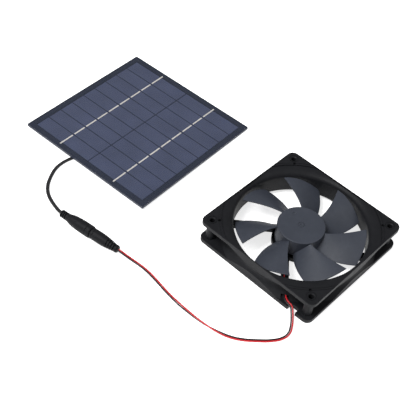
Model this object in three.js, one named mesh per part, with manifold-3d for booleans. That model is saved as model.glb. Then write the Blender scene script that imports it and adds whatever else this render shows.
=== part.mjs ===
// Solar attic fan: a 145 mm solar panel and a 120 mm axial fan, joined by a barrel connector.
// Millimetres, +Z up. The origin is on the floor, under the middle of the fan and the panel.
import * as THREE from "three";
import { mergeVertices } from "three/addons/utils/BufferGeometryUtils.js";
import Module from "manifold-3d";

const wasm = await Module();
wasm.setup();

// ---------- driving dimensions ----------
const GAP = 0.3; // between pieces that touch
const STACK_GAP = 0.1; // between the layers of the panel

// Fan frame: the standard 120 x 120 x 25 mm axial fan.
const FAN_SIDE = 120;
const FAN_HEIGHT = 25;
const HOLE_PITCH = 105;
const HOLE_RADIUS = 2.2;
const FLANGE_THICKNESS = 4;
const FLANGE_CORNER_RADIUS = 6;
const SIDE_WALL = 0.85; // what is left of the wall where the duct meets a flat side
const MOUTH_RADIUS = 64.2;
const MOUTH_STEP_RADIUS = 66.4;
const MOUTH_STEP_DEPTH = 0.5;
const MOUTH_DEPTH = 5.5;
const THROAT_RADIUS = 56.4;
const DUCT_WALL = 1.9;
const WALL_FLARE = 7.2; // how far the duct wall spreads out where it meets a flange
const WALL_FLARE_HEIGHT = 8;
const SCREW_TUBE_RADIUS = 4;
const PIN_MARK_RADIUS = 1.3;
const PIN_MARK_OFFSET = [4.3, 4.1]; // from the screw hole towards the middle
const BASE_RADIUS = 22.5;
const BASE_THICKNESS = 3.2;
const STRUT_WIDTH = 6.4;
const STRUT_HEIGHT = 4.6;
const STRUT_OFFSET = 10.5; // from the fan's axis to the line along a strut
const STRUT_ANGLE = 129.4; // heading of the first strut, in degrees
const STRUT_COUNT = 4;
const DUCT_SEGMENTS = 72;
const LABEL_RADIUS = 19.5;
const LABEL_DEPTH = 0.8;
const CHANNEL_ANGLE = THREE.MathUtils.degToRad(STRUT_ANGLE + 180);
const CHANNEL_FLOOR = 2.4;
const EXIT_WIDTH = 7; // the opening in the flared wall where the wires come out
const EXIT_HEIGHT = 2.45;
const NOTCH_X = 42.6; // the notch where the wires leave the lower flange
const NOTCH_WIDTH = 8;
const NOTCH_DEPTH = 5;

// Impeller.
const BLADE_COUNT = 7;
const BLADE_TIP_RADIUS = 54.6;
const BLADE_THICKNESS = 1.5;
const HUB_RADIUS = 20.3;
const HUB_TOP = 22.4;
const HUB_BOTTOM = 5.8;
const HUB_WALL = 1.5;

// Motor inside the hub.
const SHAFT_RADIUS = 1.5;
const BEARING_RADIUS = 4;
const BEARING_HEIGHT = 3;
const BEARING_TUBE_WALL = 1;
const COLLAR_RADIUS = 7.4; // the frame's collar around the bearing tube
const YOKE_WALL = 1;
const MAGNET_WALL = 1.8;
const STATOR_RADIUS = 14.2;

// Panel.
const PANEL_SIDE = 145;
const PANEL_THICKNESS = 2.8;
const BOARD_THICKNESS = 1.5;
const CELL_THICKNESS = 0.25;
const CELL_FIELD = 133; // both ways, across all the cells
const CELL_ROWS = 9;
const CELL_COLUMNS = 2;
const CELL_SEAM = 0.9;
const RIBBON_WIDTH = 2.4;
const CAP_HEIGHT = 2;
const CAP_SIZE = [26, 17];
const CAP_CENTRE = [-14.3, -61.5];
const CAP_WALL = 0.6;

// Layout on the floor.
const SPREAD = 189.5; // fan axis to panel centre, along X
const FAN_AHEAD = 3.8; // fan axis to panel centre, along Y
const PANEL_TURN = THREE.MathUtils.degToRad(2.9);
const CAP_REAR = PANEL_SIDE / 2 - (CAP_CENTRE[1] + CAP_SIZE[1] / 2);
const PANEL_TILT = Math.atan(CAP_HEIGHT / CAP_REAR); // the panel leans on its junction cap
const PANEL_REACH =
  (PANEL_SIDE / 2) * (Math.cos(PANEL_TURN) + Math.sin(PANEL_TURN));
const FAN_X = (SPREAD + PANEL_REACH - FAN_SIDE / 2) / 2;
const PANEL_X = FAN_X - SPREAD;
const FAN_Y = FAN_AHEAD;

// Connector: a barrel plug in an in-line socket, both on one level axis.
const CONNECTOR_HEIGHT = 5.6;
const CONNECTOR_JOINT = [-18.2, -119.4]; // where the plug meets the socket
const CONNECTOR_TURN = THREE.MathUtils.degToRad(7.3);
const SOCKET_LENGTH = 33;
const PLUG_LENGTH = 28;
const SOCKET_RADIUS = 5.5;
const PLUG_RADIUS = 4.9;
const BARREL_RADIUS = 2.75;
const BARREL_LENGTH = 9.5;
const BARREL_BORE = 1.05;
const SLEEVE_BORE = BARREL_RADIUS + 0.15;
const LINER_WALL = 0.5;
const PIN_RADIUS = 0.8;

// Leads. The wires are a loose pair; each row of the route is x, y, z and the pair's turn in degrees.
const WIRE_RADIUS = 0.65;
const WIRE_SPACING = 1.6;
const PAIR_ROUTE = [
  [10.1, -115.8, 5.6, 0],
  [14, -115.1, 4.9, 0],
  [18, -113.9, 3.4, 0],
  [23, -112.4, 1.6, 0],
  [29.5, -111.2, 0.75, 0],
  [37.1, -110.9, 0.75, 0],
  [45.6, -111.5, 0.75, 0],
  [55, -112.7, 0.75, 0],
  [62.6, -113.8, 0.75, 0],
  [70.5, -114.6, 0.75, 0],
  [79.7, -115.3, 1.05, 25],
  [89.7, -115.5, 1.45, 65],
  [99.8, -115.2, 1.55, 90],
  [108.8, -114.1, 1.45, 115],
  [117.9, -112, 1.05, 155],
  [126.7, -108.9, 0.75, 180],
  [135, -104.1, 0.75, 180],
  [145.4, -94.9, 0.75, 180],
  [152.7, -86.9, 0.75, 180],
  [157, -79.1, 0.75, 180],
  [157.4, -72.5, 0.8, 180],
  [154.5, -66.3, 1.15, 180],
  [150.9, -61.4, 2.1, 180],
  [147.2, -57.3, 3.2, 180],
  [143.7, -54.4, 4.9, 180],
  [139.7, -53.8, 5.5, 180],
  [136.2, -52.5, 5.5, 180],
  [133.8, -50.5, 5.5, 180],
  [131.9, -48.2, 5.4, 180],
  [129.7, -45.55, 5.3, 180],
];
const CABLE_WIDTH = 3.2; // a flat twin lead
const CABLE_HEIGHT = 1.7;
const CABLE_ROUTE = [
  [-97.5, -71.1, 1],
  [-98.6, -76.5, 0.95],
  [-99, -82, 0.9],
  [-98.5, -87.5, 0.9],
  [-96.9, -93, 0.9],
  [-94.2, -98.5, 0.9],
  [-90.6, -104.3, 0.9],
  [-86.6, -109.3, 0.9],
  [-82, -113.3, 0.9],
  [-76.8, -116.4, 1.05],
  [-71.2, -118.7, 1.7],
  [-65.4, -120.7, 3],
  [-60.2, -122.3, 4.4],
  [-55.8, -123.4, 5.3],
  [-51.3, -123.7, 5.6],
];
const LEAD_SIDES = 8;
const WIRE_STEPS = 40;
const CABLE_STEPS = 24;

// ---------- materials ----------
function material(color, roughness, metalness = 0) {
  return new THREE.MeshStandardMaterial({ color, roughness, metalness });
}
const FRAME_PLASTIC = material(0x26272a, 0.55);
const BLADE_PLASTIC = material(0x3d414a, 0.5);
const BLACK_RUBBER = material(0x1d1e20, 0.6);
const BOARD_BLACK = material(0x22262c, 0.5);
const CELL_BLUE = material(0x42465a, 0.3);
const COVER_RESIN = material(0x30343c, 0.15);
const TINNED = material(0xc8c3b9, 0.35, 0.8);
const STEEL = material(0x9a9b9d, 0.3, 1);
const MAGNET_GREY = material(0x3a3836, 0.8);
const COPPER = material(0xb0622e, 0.35, 0.9);
const BRASS = material(0xb59a55, 0.3, 1);
const WHITE_NYLON = material(0xd8d4c8, 0.5);
const BOARD_GREEN = material(0x1f5a36, 0.4);
const LABEL_SILVER = material(0xaeb0b2, 0.4, 0.3);
const WIRE_RED = material(0xc8282d, 0.4);
const WIRE_BLACK = material(0x17181a, 0.4);

// ---------- helpers ----------
function toSolid(geometry) {
  const bare = geometry.clone();
  bare.deleteAttribute("normal");
  bare.deleteAttribute("uv");
  const merged = mergeVertices(bare, 1e-4);
  return new wasm.Manifold(
    new wasm.Mesh({
      numProp: 3,
      vertProperties: merged.attributes.position.array,
      triVerts: new Uint32Array(merged.index.array),
    }),
  );
}

function toGeometry(solid) {
  const mesh = solid.getMesh();
  const geometry = new THREE.BufferGeometry();
  geometry.setAttribute(
    "position",
    new THREE.BufferAttribute(mesh.vertProperties, 3),
  );
  geometry.setIndex(new THREE.BufferAttribute(mesh.triVerts, 1));
  geometry.computeVertexNormals();
  return geometry;
}

function joined(...geometries) {
  return geometries
    .map(toSolid)
    .reduce((whole, next) => whole.add(next));
}

function cut(solid, ...geometries) {
  return geometries
    .map(toSolid)
    .reduce((whole, next) => whole.subtract(next), solid);
}

function named(name, geometry, finish) {
  const mesh = new THREE.Mesh(geometry, finish);
  mesh.name = name;
  return mesh;
}

// A solid of revolution about Z. Each point is [radius, z].
function turned(points, segments = 40) {
  const geometry = new THREE.LatheGeometry(
    points.map(([r, z]) => new THREE.Vector2(r, z)),
    segments,
  );
  return geometry.rotateX(Math.PI / 2);
}

function disc(radius, z0, z1, segments = 40) {
  return turned([[0, z0], [radius, z0], [radius, z1], [0, z1]], segments);
}

function ring(inner, outer, z0, z1, segments = 40) {
  return turned(
    [[inner, z0], [outer, z0], [outer, z1], [inner, z1], [inner, z0]],
    segments,
  );
}

function block(width, depth, height, x, y, z) {
  return new THREE.BoxGeometry(width, depth, height).translate(x, y, z);
}

function roundedRectangle(width, depth, radius) {
  const shape = new THREE.Shape();
  const x = width / 2;
  const y = depth / 2;
  shape.moveTo(radius - x, -y);
  shape.lineTo(x - radius, -y);
  shape.absarc(x - radius, radius - y, radius, -Math.PI / 2, 0);
  shape.absarc(x - radius, y - radius, radius, 0, Math.PI / 2);
  shape.absarc(radius - x, y - radius, radius, Math.PI / 2, Math.PI);
  shape.absarc(radius - x, radius - y, radius, Math.PI, 1.5 * Math.PI);
  return shape;
}

function plate(width, depth, radius, z0, z1) {
  return new THREE.ExtrudeGeometry(roundedRectangle(width, depth, radius), {
    depth: z1 - z0,
    bevelEnabled: false,
    curveSegments: 6,
  }).translate(0, 0, z0);
}

function around(count, make) {
  return Array.from({ length: count }, (_, i) => make((i * 2 * Math.PI) / count));
}

// ---------- fan frame ----------
// The mouth's flare is a quarter of an ellipse, from the shallow step down to the throat.
function mouthRadiusAt(depth) {
  const along = (depth - MOUTH_STEP_DEPTH) / (MOUTH_DEPTH - MOUTH_STEP_DEPTH);
  const lip = MOUTH_RADIUS - THROAT_RADIUS;
  return MOUTH_RADIUS - lip * Math.sqrt(1 - (1 - along) ** 2);
}

function mirroredUp(points) {
  return points.map(([r, z]) => [r, FAN_HEIGHT - z]).reverse();
}

function ductBore() {
  const depths = [MOUTH_STEP_DEPTH, 0.8, 1.7, 3.2, MOUTH_DEPTH];
  const lower = depths.map((z) => [mouthRadiusAt(z), z]);
  const bore = toSolid(
    turned(
      [
        [0, -1],
        [MOUTH_STEP_RADIUS, -1],
        [MOUTH_STEP_RADIUS, MOUTH_STEP_DEPTH],
        ...lower,
        ...mirroredUp(lower),
        [MOUTH_STEP_RADIUS, FAN_HEIGHT - MOUTH_STEP_DEPTH],
        [MOUTH_STEP_RADIUS, FAN_HEIGHT + 1],
        [0, FAN_HEIGHT + 1],
      ],
      DUCT_SEGMENTS,
    ),
  );
  const inside = FAN_SIDE - 2 * SIDE_WALL;
  return bore.intersect(
    toSolid(block(inside, inside, 2 * FAN_HEIGHT, 0, 0, FAN_HEIGHT / 2)),
  );
}

// The duct's outer wall spreads out towards both flanges and is cut flat by the frame's sides.
function ductWall() {
  const lower = [0, 0.25, 0.5, 0.75, 1].map((along) => [
    THROAT_RADIUS + DUCT_WALL + WALL_FLARE * (1 - along) ** 1.6,
    FLANGE_THICKNESS + WALL_FLARE_HEIGHT * along,
  ]);
  const foot = [lower[0][0], FLANGE_THICKNESS / 2];
  const wall = turned(
    [[0, foot[1]], foot, ...lower, ...mirroredUp([foot, ...lower]), [0, FAN_HEIGHT - foot[1]]],
    DUCT_SEGMENTS,
  );
  return toSolid(wall).intersect(toSolid(block(FAN_SIDE, FAN_SIDE, FAN_HEIGHT, 0, 0, FAN_HEIGHT / 2)));
}

function strut(angle) {
  const length = 46;
  return block(length, STRUT_WIDTH, STRUT_HEIGHT, 12 + length / 2, -STRUT_OFFSET, STRUT_HEIGHT / 2)
    .rotateZ(angle);
}

function fanFrame() {
  const holeSpots = around(4, (a) => [
    HOLE_PITCH * Math.SQRT1_2 * Math.cos(a + Math.PI / 4),
    HOLE_PITCH * Math.SQRT1_2 * Math.sin(a + Math.PI / 4),
  ]);
  const ductRadius = THROAT_RADIUS + DUCT_WALL;
  const tubeSeat = BEARING_RADIUS + GAP + BEARING_TUBE_WALL + GAP;
  const shell = joined(
    plate(FAN_SIDE, FAN_SIDE, FLANGE_CORNER_RADIUS, 0, FLANGE_THICKNESS),
    plate(FAN_SIDE, FAN_SIDE, FLANGE_CORNER_RADIUS, FAN_HEIGHT - FLANGE_THICKNESS, FAN_HEIGHT),
    ...holeSpots.map(([x, y]) =>
      disc(SCREW_TUBE_RADIUS, 1, FAN_HEIGHT - 1, 16).translate(x, y, 0),
    ),
  ).add(ductWall());
  const screwHoles = holeSpots.map(([x, y]) =>
    disc(HOLE_RADIUS, -1, FAN_HEIGHT + 1, 16).translate(x, y, 0),
  );
  const pinMarks = holeSpots.map(([x, y]) =>
    disc(PIN_MARK_RADIUS, FAN_HEIGHT - 2, FAN_HEIGHT + 1, 8).translate(
      x - PIN_MARK_OFFSET[0] * Math.sign(x),
      y - PIN_MARK_OFFSET[1] * Math.sign(y),
      0,
    ),
  );
  const open = cut(shell, ...screwHoles, ...pinMarks).subtract(ductBore());
  const struts = around(STRUT_COUNT, (a) =>
    strut(THREE.MathUtils.degToRad(STRUT_ANGLE) + a),
  );
  const base = joined(
    disc(BASE_RADIUS, 0, BASE_THICKNESS),
    ring(BASE_RADIUS - 1.4, BASE_RADIUS, 0, BASE_THICKNESS + 1.4),
    ring(tubeSeat, COLLAR_RADIUS, 1, BASE_THICKNESS + 2.2),
    ...struts,
  );
  const solid = cut(
    open.add(base.intersect(toSolid(disc(ductRadius - 0.2, -1, FAN_HEIGHT, DUCT_SEGMENTS)))),
    disc(tubeSeat, -1, BASE_THICKNESS + 4),
    disc(LABEL_RADIUS + GAP, -1, LABEL_DEPTH),
    wireChannel(),
    wireExit(),
    wireNotch(),
  );
  return named("fan_frame", toGeometry(solid), FRAME_PLASTIC);
}

// The channel along one strut that leads the wires out through the duct wall.
function wireChannel() {
  const start = 14;
  const end = THROAT_RADIUS + 2;
  const width = 2 * WIRE_RADIUS + WIRE_SPACING + 2 * GAP;
  const height = 4.4;
  return block(end - start, width, height, (start + end) / 2, -STRUT_OFFSET, CHANNEL_FLOOR + height / 2)
    .rotateZ(CHANNEL_ANGLE);
}

// The opening where the channel comes out of the flared wall, above the lower flange.
function wireExit() {
  const start = THROAT_RADIUS + 1.6;
  const end = FAN_SIDE / 2 + 8;
  return block(end - start, EXIT_WIDTH, EXIT_HEIGHT, (start + end) / 2, -STRUT_OFFSET, FLANGE_THICKNESS + EXIT_HEIGHT / 2)
    .rotateZ(CHANNEL_ANGLE);
}

// The notch in the lower flange where the wires leave the frame.
function wireNotch() {
  return block(NOTCH_WIDTH, 2 * NOTCH_DEPTH, 10, NOTCH_X, -FAN_SIDE / 2, 0);
}

function blankLabel() {
  return named(
    "blank_label",
    disc(LABEL_RADIUS, 0.3, 0.55, 40),
    LABEL_SILVER,
  );
}

// ---------- impeller ----------
// A point of one blade: along is 0 at the hub and 1 at the tip, across is 0 at the leading edge.
function bladePoint(along, across, side) {
  const root = HUB_RADIUS - HUB_WALL / 2;
  const r = root + (BLADE_TIP_RADIUS - root) * along;
  const leading = 75.7 + 24.8 * along - 6.5 * along ** 2;
  const trailing = 38.7 + 21.2 * along;
  const angle = THREE.MathUtils.degToRad(leading + (trailing - leading) * across);
  const leadingZ = 20.6 + 1.2 * along;
  const trailingZ = 7 + 4.2 * along;
  const z = leadingZ - (leadingZ - trailingZ) * across ** (1.3 + 0.5 * along);
  const half = (BLADE_THICKNESS / 2) * (0.35 + 0.65 * Math.sin(Math.PI * across) ** 0.5);
  return [r * Math.cos(angle), r * Math.sin(angle), z + side * half];
}

function blade() {
  const rows = 5;
  const columns = 8;
  const points = [];
  const faces = [];
  const sheet = (side) => {
    const start = points.length / 3;
    for (let i = 0; i <= rows; i++)
      for (let j = 0; j <= columns; j++)
        points.push(...bladePoint(i / rows, j / columns, side));
    return (i, j) => start + i * (columns + 1) + j;
  };
  const top = sheet(1);
  const bottom = sheet(-1);
  const quad = (a, b, c, d) => faces.push(a, b, c, a, c, d);
  for (let i = 0; i < rows; i++)
    for (let j = 0; j < columns; j++) {
      quad(top(i, j), top(i, j + 1), top(i + 1, j + 1), top(i + 1, j));
      quad(bottom(i, j), bottom(i + 1, j), bottom(i + 1, j + 1), bottom(i, j + 1));
    }
  for (let i = 0; i < rows; i++) {
    quad(top(i, 0), top(i + 1, 0), bottom(i + 1, 0), bottom(i, 0));
    quad(top(i, columns), bottom(i, columns), bottom(i + 1, columns), top(i + 1, columns));
  }
  for (let j = 0; j < columns; j++) {
    quad(top(0, j), bottom(0, j), bottom(0, j + 1), top(0, j + 1));
    quad(top(rows, j), top(rows, j + 1), bottom(rows, j + 1), bottom(rows, j));
  }
  const geometry = new THREE.BufferGeometry();
  geometry.setAttribute("position", new THREE.Float32BufferAttribute(points, 3));
  geometry.setIndex(faces);
  return geometry;
}

function impeller() {
  const inner = HUB_RADIUS - HUB_WALL;
  const hub = turned([
    [0, HUB_TOP - 1.6],
    [inner, HUB_TOP - 1.6],
    [inner, HUB_BOTTOM],
    [HUB_RADIUS, HUB_BOTTOM],
    [HUB_RADIUS, HUB_TOP - 0.8],
    [HUB_RADIUS - 0.8, HUB_TOP],
    [0, HUB_TOP],
  ]);
  const blades = around(BLADE_COUNT, (a) => blade().rotateZ(a));
  const gateMark = disc(1.2, HUB_TOP - 0.4, HUB_TOP + 1, 16);
  const balanceMark = disc(1.1, HUB_TOP - 0.4, HUB_TOP + 1, 16)
    .translate(-11.9, 5.4, 0);
  const solid = cut(joined(hub, ...blades), gateMark, balanceMark);
  return named("impeller", toGeometry(solid), BLADE_PLASTIC);
}

// ---------- motor ----------
const YOKE_RADIUS = HUB_RADIUS - HUB_WALL - GAP;
const YOKE_TOP = HUB_TOP - 1.6 - GAP;
const BEARING_TUBE_INNER = BEARING_RADIUS + GAP;
const BEARING_TUBE_OUTER = BEARING_TUBE_INNER + BEARING_TUBE_WALL;
const LOWER_BEARING_Z = 2.4;
const UPPER_BEARING_Z = 12.6;

function rotorPieces() {
  const yoke = turned([
    [3.2, YOKE_TOP - YOKE_WALL],
    [YOKE_RADIUS - YOKE_WALL, YOKE_TOP - YOKE_WALL],
    [YOKE_RADIUS - YOKE_WALL, 6.6],
    [YOKE_RADIUS, 6.6],
    [YOKE_RADIUS, YOKE_TOP],
    [3.2, YOKE_TOP],
    [3.2, YOKE_TOP - YOKE_WALL],
  ]);
  const magnetOuter = YOKE_RADIUS - YOKE_WALL - GAP;
  const magnet = ring(magnetOuter - MAGNET_WALL, magnetOuter, 7, YOKE_TOP - YOKE_WALL - GAP);
  const bush = ring(SHAFT_RADIUS + GAP, 2.9, YOKE_TOP - 3, YOKE_TOP, 18);
  const shaft = disc(SHAFT_RADIUS, 1.3, YOKE_TOP, 18);
  const washer = ring(SHAFT_RADIUS + GAP, 2.4, 16, 16.4, 18);
  return [
    named("rotor_yoke", yoke, STEEL),
    named("ring_magnet", magnet, MAGNET_GREY),
    named("rotor_bush", bush, BRASS),
    named("shaft", shaft, STEEL),
    named("preload_washer", washer, STEEL),
    retainingClip(),
    bearingInner("upper_bearing_inner", UPPER_BEARING_Z),
    bearingInner("lower_bearing_inner", LOWER_BEARING_Z),
  ];
}

// A snap ring with a slot, at the lower end of the shaft.
function retainingClip() {
  const clip = cut(
    joined(ring(SHAFT_RADIUS + 0.15, 2.7, 1.5, 1.9, 18)),
    block(3, 1.6, 2, 2.2, 0, 1.7),
  );
  return named("retaining_clip", toGeometry(clip), STEEL);
}

function bearingInner(name, z) {
  const bore = SHAFT_RADIUS + 0.15;
  return named(name, ring(bore, 2.3, z, z + BEARING_HEIGHT, 18), STEEL);
}

function bearingOuter(name, z) {
  const race = turned(
    [
      [3.1, z],
      [BEARING_RADIUS, z],
      [BEARING_RADIUS, z + BEARING_HEIGHT],
      [3.1, z + BEARING_HEIGHT],
      [3.1, z + BEARING_HEIGHT - 0.3],
      [3.4, z + BEARING_HEIGHT - 0.3],
      [3.4, z + 0.3],
      [3.1, z + 0.3],
      [3.1, z],
    ],
    18,
  );
  return named(name, race, STEEL);
}

const STATOR_Z = 9;
const STATOR_HEIGHT = 5;
const POLE_WIDTH = 4.4;

function poleBar(angle) {
  return block(11, POLE_WIDTH, STATOR_HEIGHT, 8, 0, STATOR_Z + STATOR_HEIGHT / 2)
    .rotateZ(angle);
}

// Laminated core: a collar, four poles and their curved shoes, with slots between the shoes.
function statorCore() {
  const core = joined(
    ring(5.9, 7.6, STATOR_Z, STATOR_Z + STATOR_HEIGHT, 32),
    ring(STATOR_RADIUS - 1.6, STATOR_RADIUS, STATOR_Z, STATOR_Z + STATOR_HEIGHT, 48),
    ...around(4, poleBar),
  );
  const slots = around(4, (a) =>
    block(5, 3.4, 8, STATOR_RADIUS, 0, STATOR_Z + STATOR_HEIGHT / 2)
      .rotateZ(a + Math.PI / 4),
  );
  const solid = cut(core, disc(5.9, 0, 20, 32), ...slots);
  return named("stator_core", toGeometry(solid), STEEL);
}

// A cross-shaped bobbin cheek above or below the core.
function insulator(name, z0, z1) {
  const height = z1 - z0;
  const arm = (a) =>
    block(6.2, POLE_WIDTH, height, 9.2, 0, (z0 + z1) / 2).rotateZ(a);
  const solid = cut(
    joined(ring(5.9, 8, z0, z1, 32), ...around(4, arm)),
    disc(5.9, 0, 20, 32),
  );
  return named(name, toGeometry(solid), WHITE_NYLON);
}

// One coil, wound around a pole and the two cheeks.
function winding(index) {
  const length = 3.4;
  const centre = 10.3;
  const innerWidth = POLE_WIDTH + 2 * GAP;
  const innerHeight = STATOR_HEIGHT + 2.6 + 2 * GAP;
  const turns = 1.1;
  const z = STATOR_Z + STATOR_HEIGHT / 2;
  const coil = cut(
    joined(block(length, innerWidth + 2 * turns, innerHeight + 2 * turns, centre, 0, z)),
    block(length + 2, innerWidth, innerHeight, centre, 0, z),
  );
  const mesh = named(`winding_${index + 1}`, toGeometry(coil), COPPER);
  mesh.rotation.z = (index * Math.PI) / 2;
  return mesh;
}

function motorPieces() {
  const tube = ring(BEARING_TUBE_INNER, BEARING_TUBE_OUTER, 0.9, 15.8, 32);
  const board = cut(
    joined(ring(8.4, 17.6, 5.4, 6.2, 48)),
    block(6, 2.2, 4, 17, 0, 5.8),
  );
  const chip = block(4, 3, 1.4, 10.4, -6.4, 6.2 + GAP / 2 + 0.7).rotateZ(-0.1);
  return [
    named("bearing_tube", tube, BRASS),
    bearingOuter("upper_bearing_outer", UPPER_BEARING_Z),
    bearingOuter("lower_bearing_outer", LOWER_BEARING_Z),
    statorCore(),
    insulator("lower_insulator", STATOR_Z - 1.3, STATOR_Z - 0.1),
    insulator("upper_insulator", STATOR_Z + STATOR_HEIGHT + 0.1, STATOR_Z + STATOR_HEIGHT + 1.3),
    ...[0, 1, 2, 3].map(winding),
    named("driver_board", toGeometry(board), BOARD_GREEN),
    named("driver_chip", chip, BLACK_RUBBER),
  ];
}

// ---------- panel ----------
function cellPieces() {
  const pitchX = CELL_FIELD / CELL_COLUMNS;
  const pitchY = CELL_FIELD / CELL_ROWS;
  const z = BOARD_THICKNESS + STACK_GAP + CELL_THICKNESS / 2;
  const pieces = [];
  for (let column = 0; column < CELL_COLUMNS; column++)
    for (let row = 0; row < CELL_ROWS; row++) {
      const x = (column - (CELL_COLUMNS - 1) / 2) * pitchX;
      const y = (row - (CELL_ROWS - 1) / 2) * pitchY;
      const cell = block(pitchX - CELL_SEAM, pitchY - CELL_SEAM, CELL_THICKNESS, x, y, z);
      pieces.push(named(`cell_${column * CELL_ROWS + row + 1}`, cell, CELL_BLUE));
    }
  return pieces;
}

function panelPieces() {
  const ribbonZ = BOARD_THICKNESS + 2 * STACK_GAP + CELL_THICKNESS;
  const coverZ = ribbonZ + 2 * STACK_GAP + 0.1;
  const ribbon = (name, x) =>
    named(name, block(RIBBON_WIDTH, CELL_FIELD + 4, 0.1, x, 0, ribbonZ + 0.05), TINNED);
  const side = PANEL_SIDE;
  const [capX, capY] = CAP_CENTRE;
  const pad = (name, offset) =>
    named(name, block(5, 8, 0.3, capX + offset, capY, -0.3), TINNED);
  return [
    named("backing_board", plate(side, side, 0.8, 0, BOARD_THICKNESS), BOARD_BLACK),
    ...cellPieces(),
    ribbon("ribbon_left", -CELL_FIELD / 4),
    ribbon("ribbon_right", CELL_FIELD / 4),
    named("clear_cover", plate(side, side, 0.8, coverZ, PANEL_THICKNESS), COVER_RESIN),
    pad("solder_pad_plus", -6),
    pad("solder_pad_minus", 6),
    junctionCap(),
  ];
}

// A low potting cap over the two solder joints, open towards the board and towards its cable.
function junctionCap() {
  const [width, depth] = CAP_SIZE;
  const [x, y] = CAP_CENTRE;
  const inside = [width - 2 * CAP_WALL, depth - 2 * CAP_WALL];
  const shell = joined(
    plate(width, depth, 2, -CAP_HEIGHT, -STACK_GAP).translate(x, y, 0),
  );
  const solid = cut(
    shell,
    plate(...inside, 1.4, -CAP_HEIGHT + CAP_WALL, 1).translate(x, y, 0),
  );
  return named("junction_cap", toGeometry(solid), BLACK_RUBBER);
}

// ---------- connector ----------
// Both halves are drawn along +Z from the joint face and laid down together.
function socketPieces() {
  const back = -SOCKET_LENGTH;
  const boreEnd = -BARREL_LENGTH - 1.2;
  const bodyBore = SLEEVE_BORE + LINER_WALL + GAP;
  const outline = [
    [0, back],
    [3.1, back],
    [3.4, back + 0.6],
    ...reliefRibs(back + 1.4, 3.4, 3, 1.9),
    [3.5, back + 7.6],
    [4.5, back + 11.2],
    [5.05, back + 14.5],
    [5.35, back + 20],
    [SOCKET_RADIUS, -4],
    [SOCKET_RADIUS, -0.5],
    [SOCKET_RADIUS - 0.5, 0],
    [bodyBore, 0],
    [bodyBore, boreEnd],
    [0, boreEnd],
  ];
  const liner = turned(
    [
      [SLEEVE_BORE, -0.4],
      [SLEEVE_BORE, boreEnd + 1],
      [1.5, boreEnd + 1],
      [1.5, boreEnd + GAP],
      [SLEEVE_BORE + LINER_WALL, boreEnd + GAP],
      [SLEEVE_BORE + LINER_WALL, -0.4],
      [SLEEVE_BORE, -0.4],
    ],
    18,
  );
  const pin = turned(
    [[0, boreEnd + GAP], [PIN_RADIUS, boreEnd + GAP], [PIN_RADIUS, -2.6], [0.4, -2], [0, -2]],
    20,
  );
  return [
    named("socket_body", turned(outline, 20), BLACK_RUBBER),
    named("socket_liner", liner, WHITE_NYLON),
    named("socket_pin", pin, TINNED),
  ];
}

// Rings and grooves of a moulded strain relief, as profile points.
function reliefRibs(start, radius, count, pitch, taper = 0) {
  const groove = 0.55;
  const points = [];
  for (let i = 0; i < count; i++) {
    const z = start + i * pitch;
    const r = radius - i * taper;
    points.push([r, z], [r - groove, z + 0.1], [r - groove, z + 0.8], [r - taper / 2, z + 0.9]);
  }
  return points;
}

function plugPieces() {
  const face = GAP;
  const tail = PLUG_LENGTH;
  const outline = [
    [0, face],
    [PLUG_RADIUS - 0.4, face],
    [PLUG_RADIUS, face + 0.4],
    [PLUG_RADIUS, 10],
    [PLUG_RADIUS - 0.15, 15],
    [PLUG_RADIUS - 0.5, 17.8],
    ...reliefRibs(18, PLUG_RADIUS - 0.6, 4, 2.2, 0.3),
    [3.3, tail - 0.5],
    [2.9, tail],
    [0, tail],
  ];
  const sleeve = ring(BARREL_RADIUS - 0.35, BARREL_RADIUS, -BARREL_LENGTH, face - GAP, 18);
  const spacer = ring(1.6, BARREL_RADIUS - 0.35 - 0.1, -BARREL_LENGTH + 0.2, face - GAP, 18);
  const contact = ring(BARREL_BORE, 1.45, -BARREL_LENGTH + 1, face - GAP, 20);
  return [
    named("plug_body", turned(outline, 20), BLACK_RUBBER),
    named("plug_sleeve", sleeve, TINNED),
    named("plug_spacer", spacer, BLACK_RUBBER),
    named("plug_contact", contact, BRASS),
  ];
}

function connector(pieces) {
  const group = new THREE.Group();
  group.position.set(...CONNECTOR_JOINT, CONNECTOR_HEIGHT);
  group.rotation.z = CONNECTOR_TURN;
  const lying = new THREE.Group();
  lying.rotation.y = Math.PI / 2;
  lying.add(...pieces);
  return group.add(lying);
}

// ---------- leads ----------
function lead(name, points, width, height, steps, finish) {
  const curve = new THREE.CatmullRomCurve3(points, false, "centripetal");
  const section = new THREE.Shape();
  section.absellipse(0, 0, height / 2, width / 2, 0, 2 * Math.PI);
  const geometry = new THREE.ExtrudeGeometry(section, {
    steps,
    curveSegments: LEAD_SIDES / 2,
    extrudePath: curve,
  });
  return named(name, geometry, finish);
}

function wire(name, points, steps, finish) {
  return lead(name, points, 2 * WIRE_RADIUS, 2 * WIRE_RADIUS, steps, finish);
}

// One wire of the pair, on the given side of the pair's middle line.
function wirePoints(side) {
  return PAIR_ROUTE.map(([x, y, z, turn], i) => {
    const before = PAIR_ROUTE[Math.max(i - 1, 0)];
    const after = PAIR_ROUTE[Math.min(i + 1, PAIR_ROUTE.length - 1)];
    const heading = Math.atan2(after[1] - before[1], after[0] - before[0]);
    const angle = THREE.MathUtils.degToRad(turn);
    const sideways = side * (WIRE_SPACING / 2) * Math.cos(angle);
    const up = side * (WIRE_SPACING / 2) * Math.sin(angle);
    return new THREE.Vector3(
      x - sideways * Math.sin(heading),
      y + sideways * Math.cos(heading),
      z + up,
    );
  });
}

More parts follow.
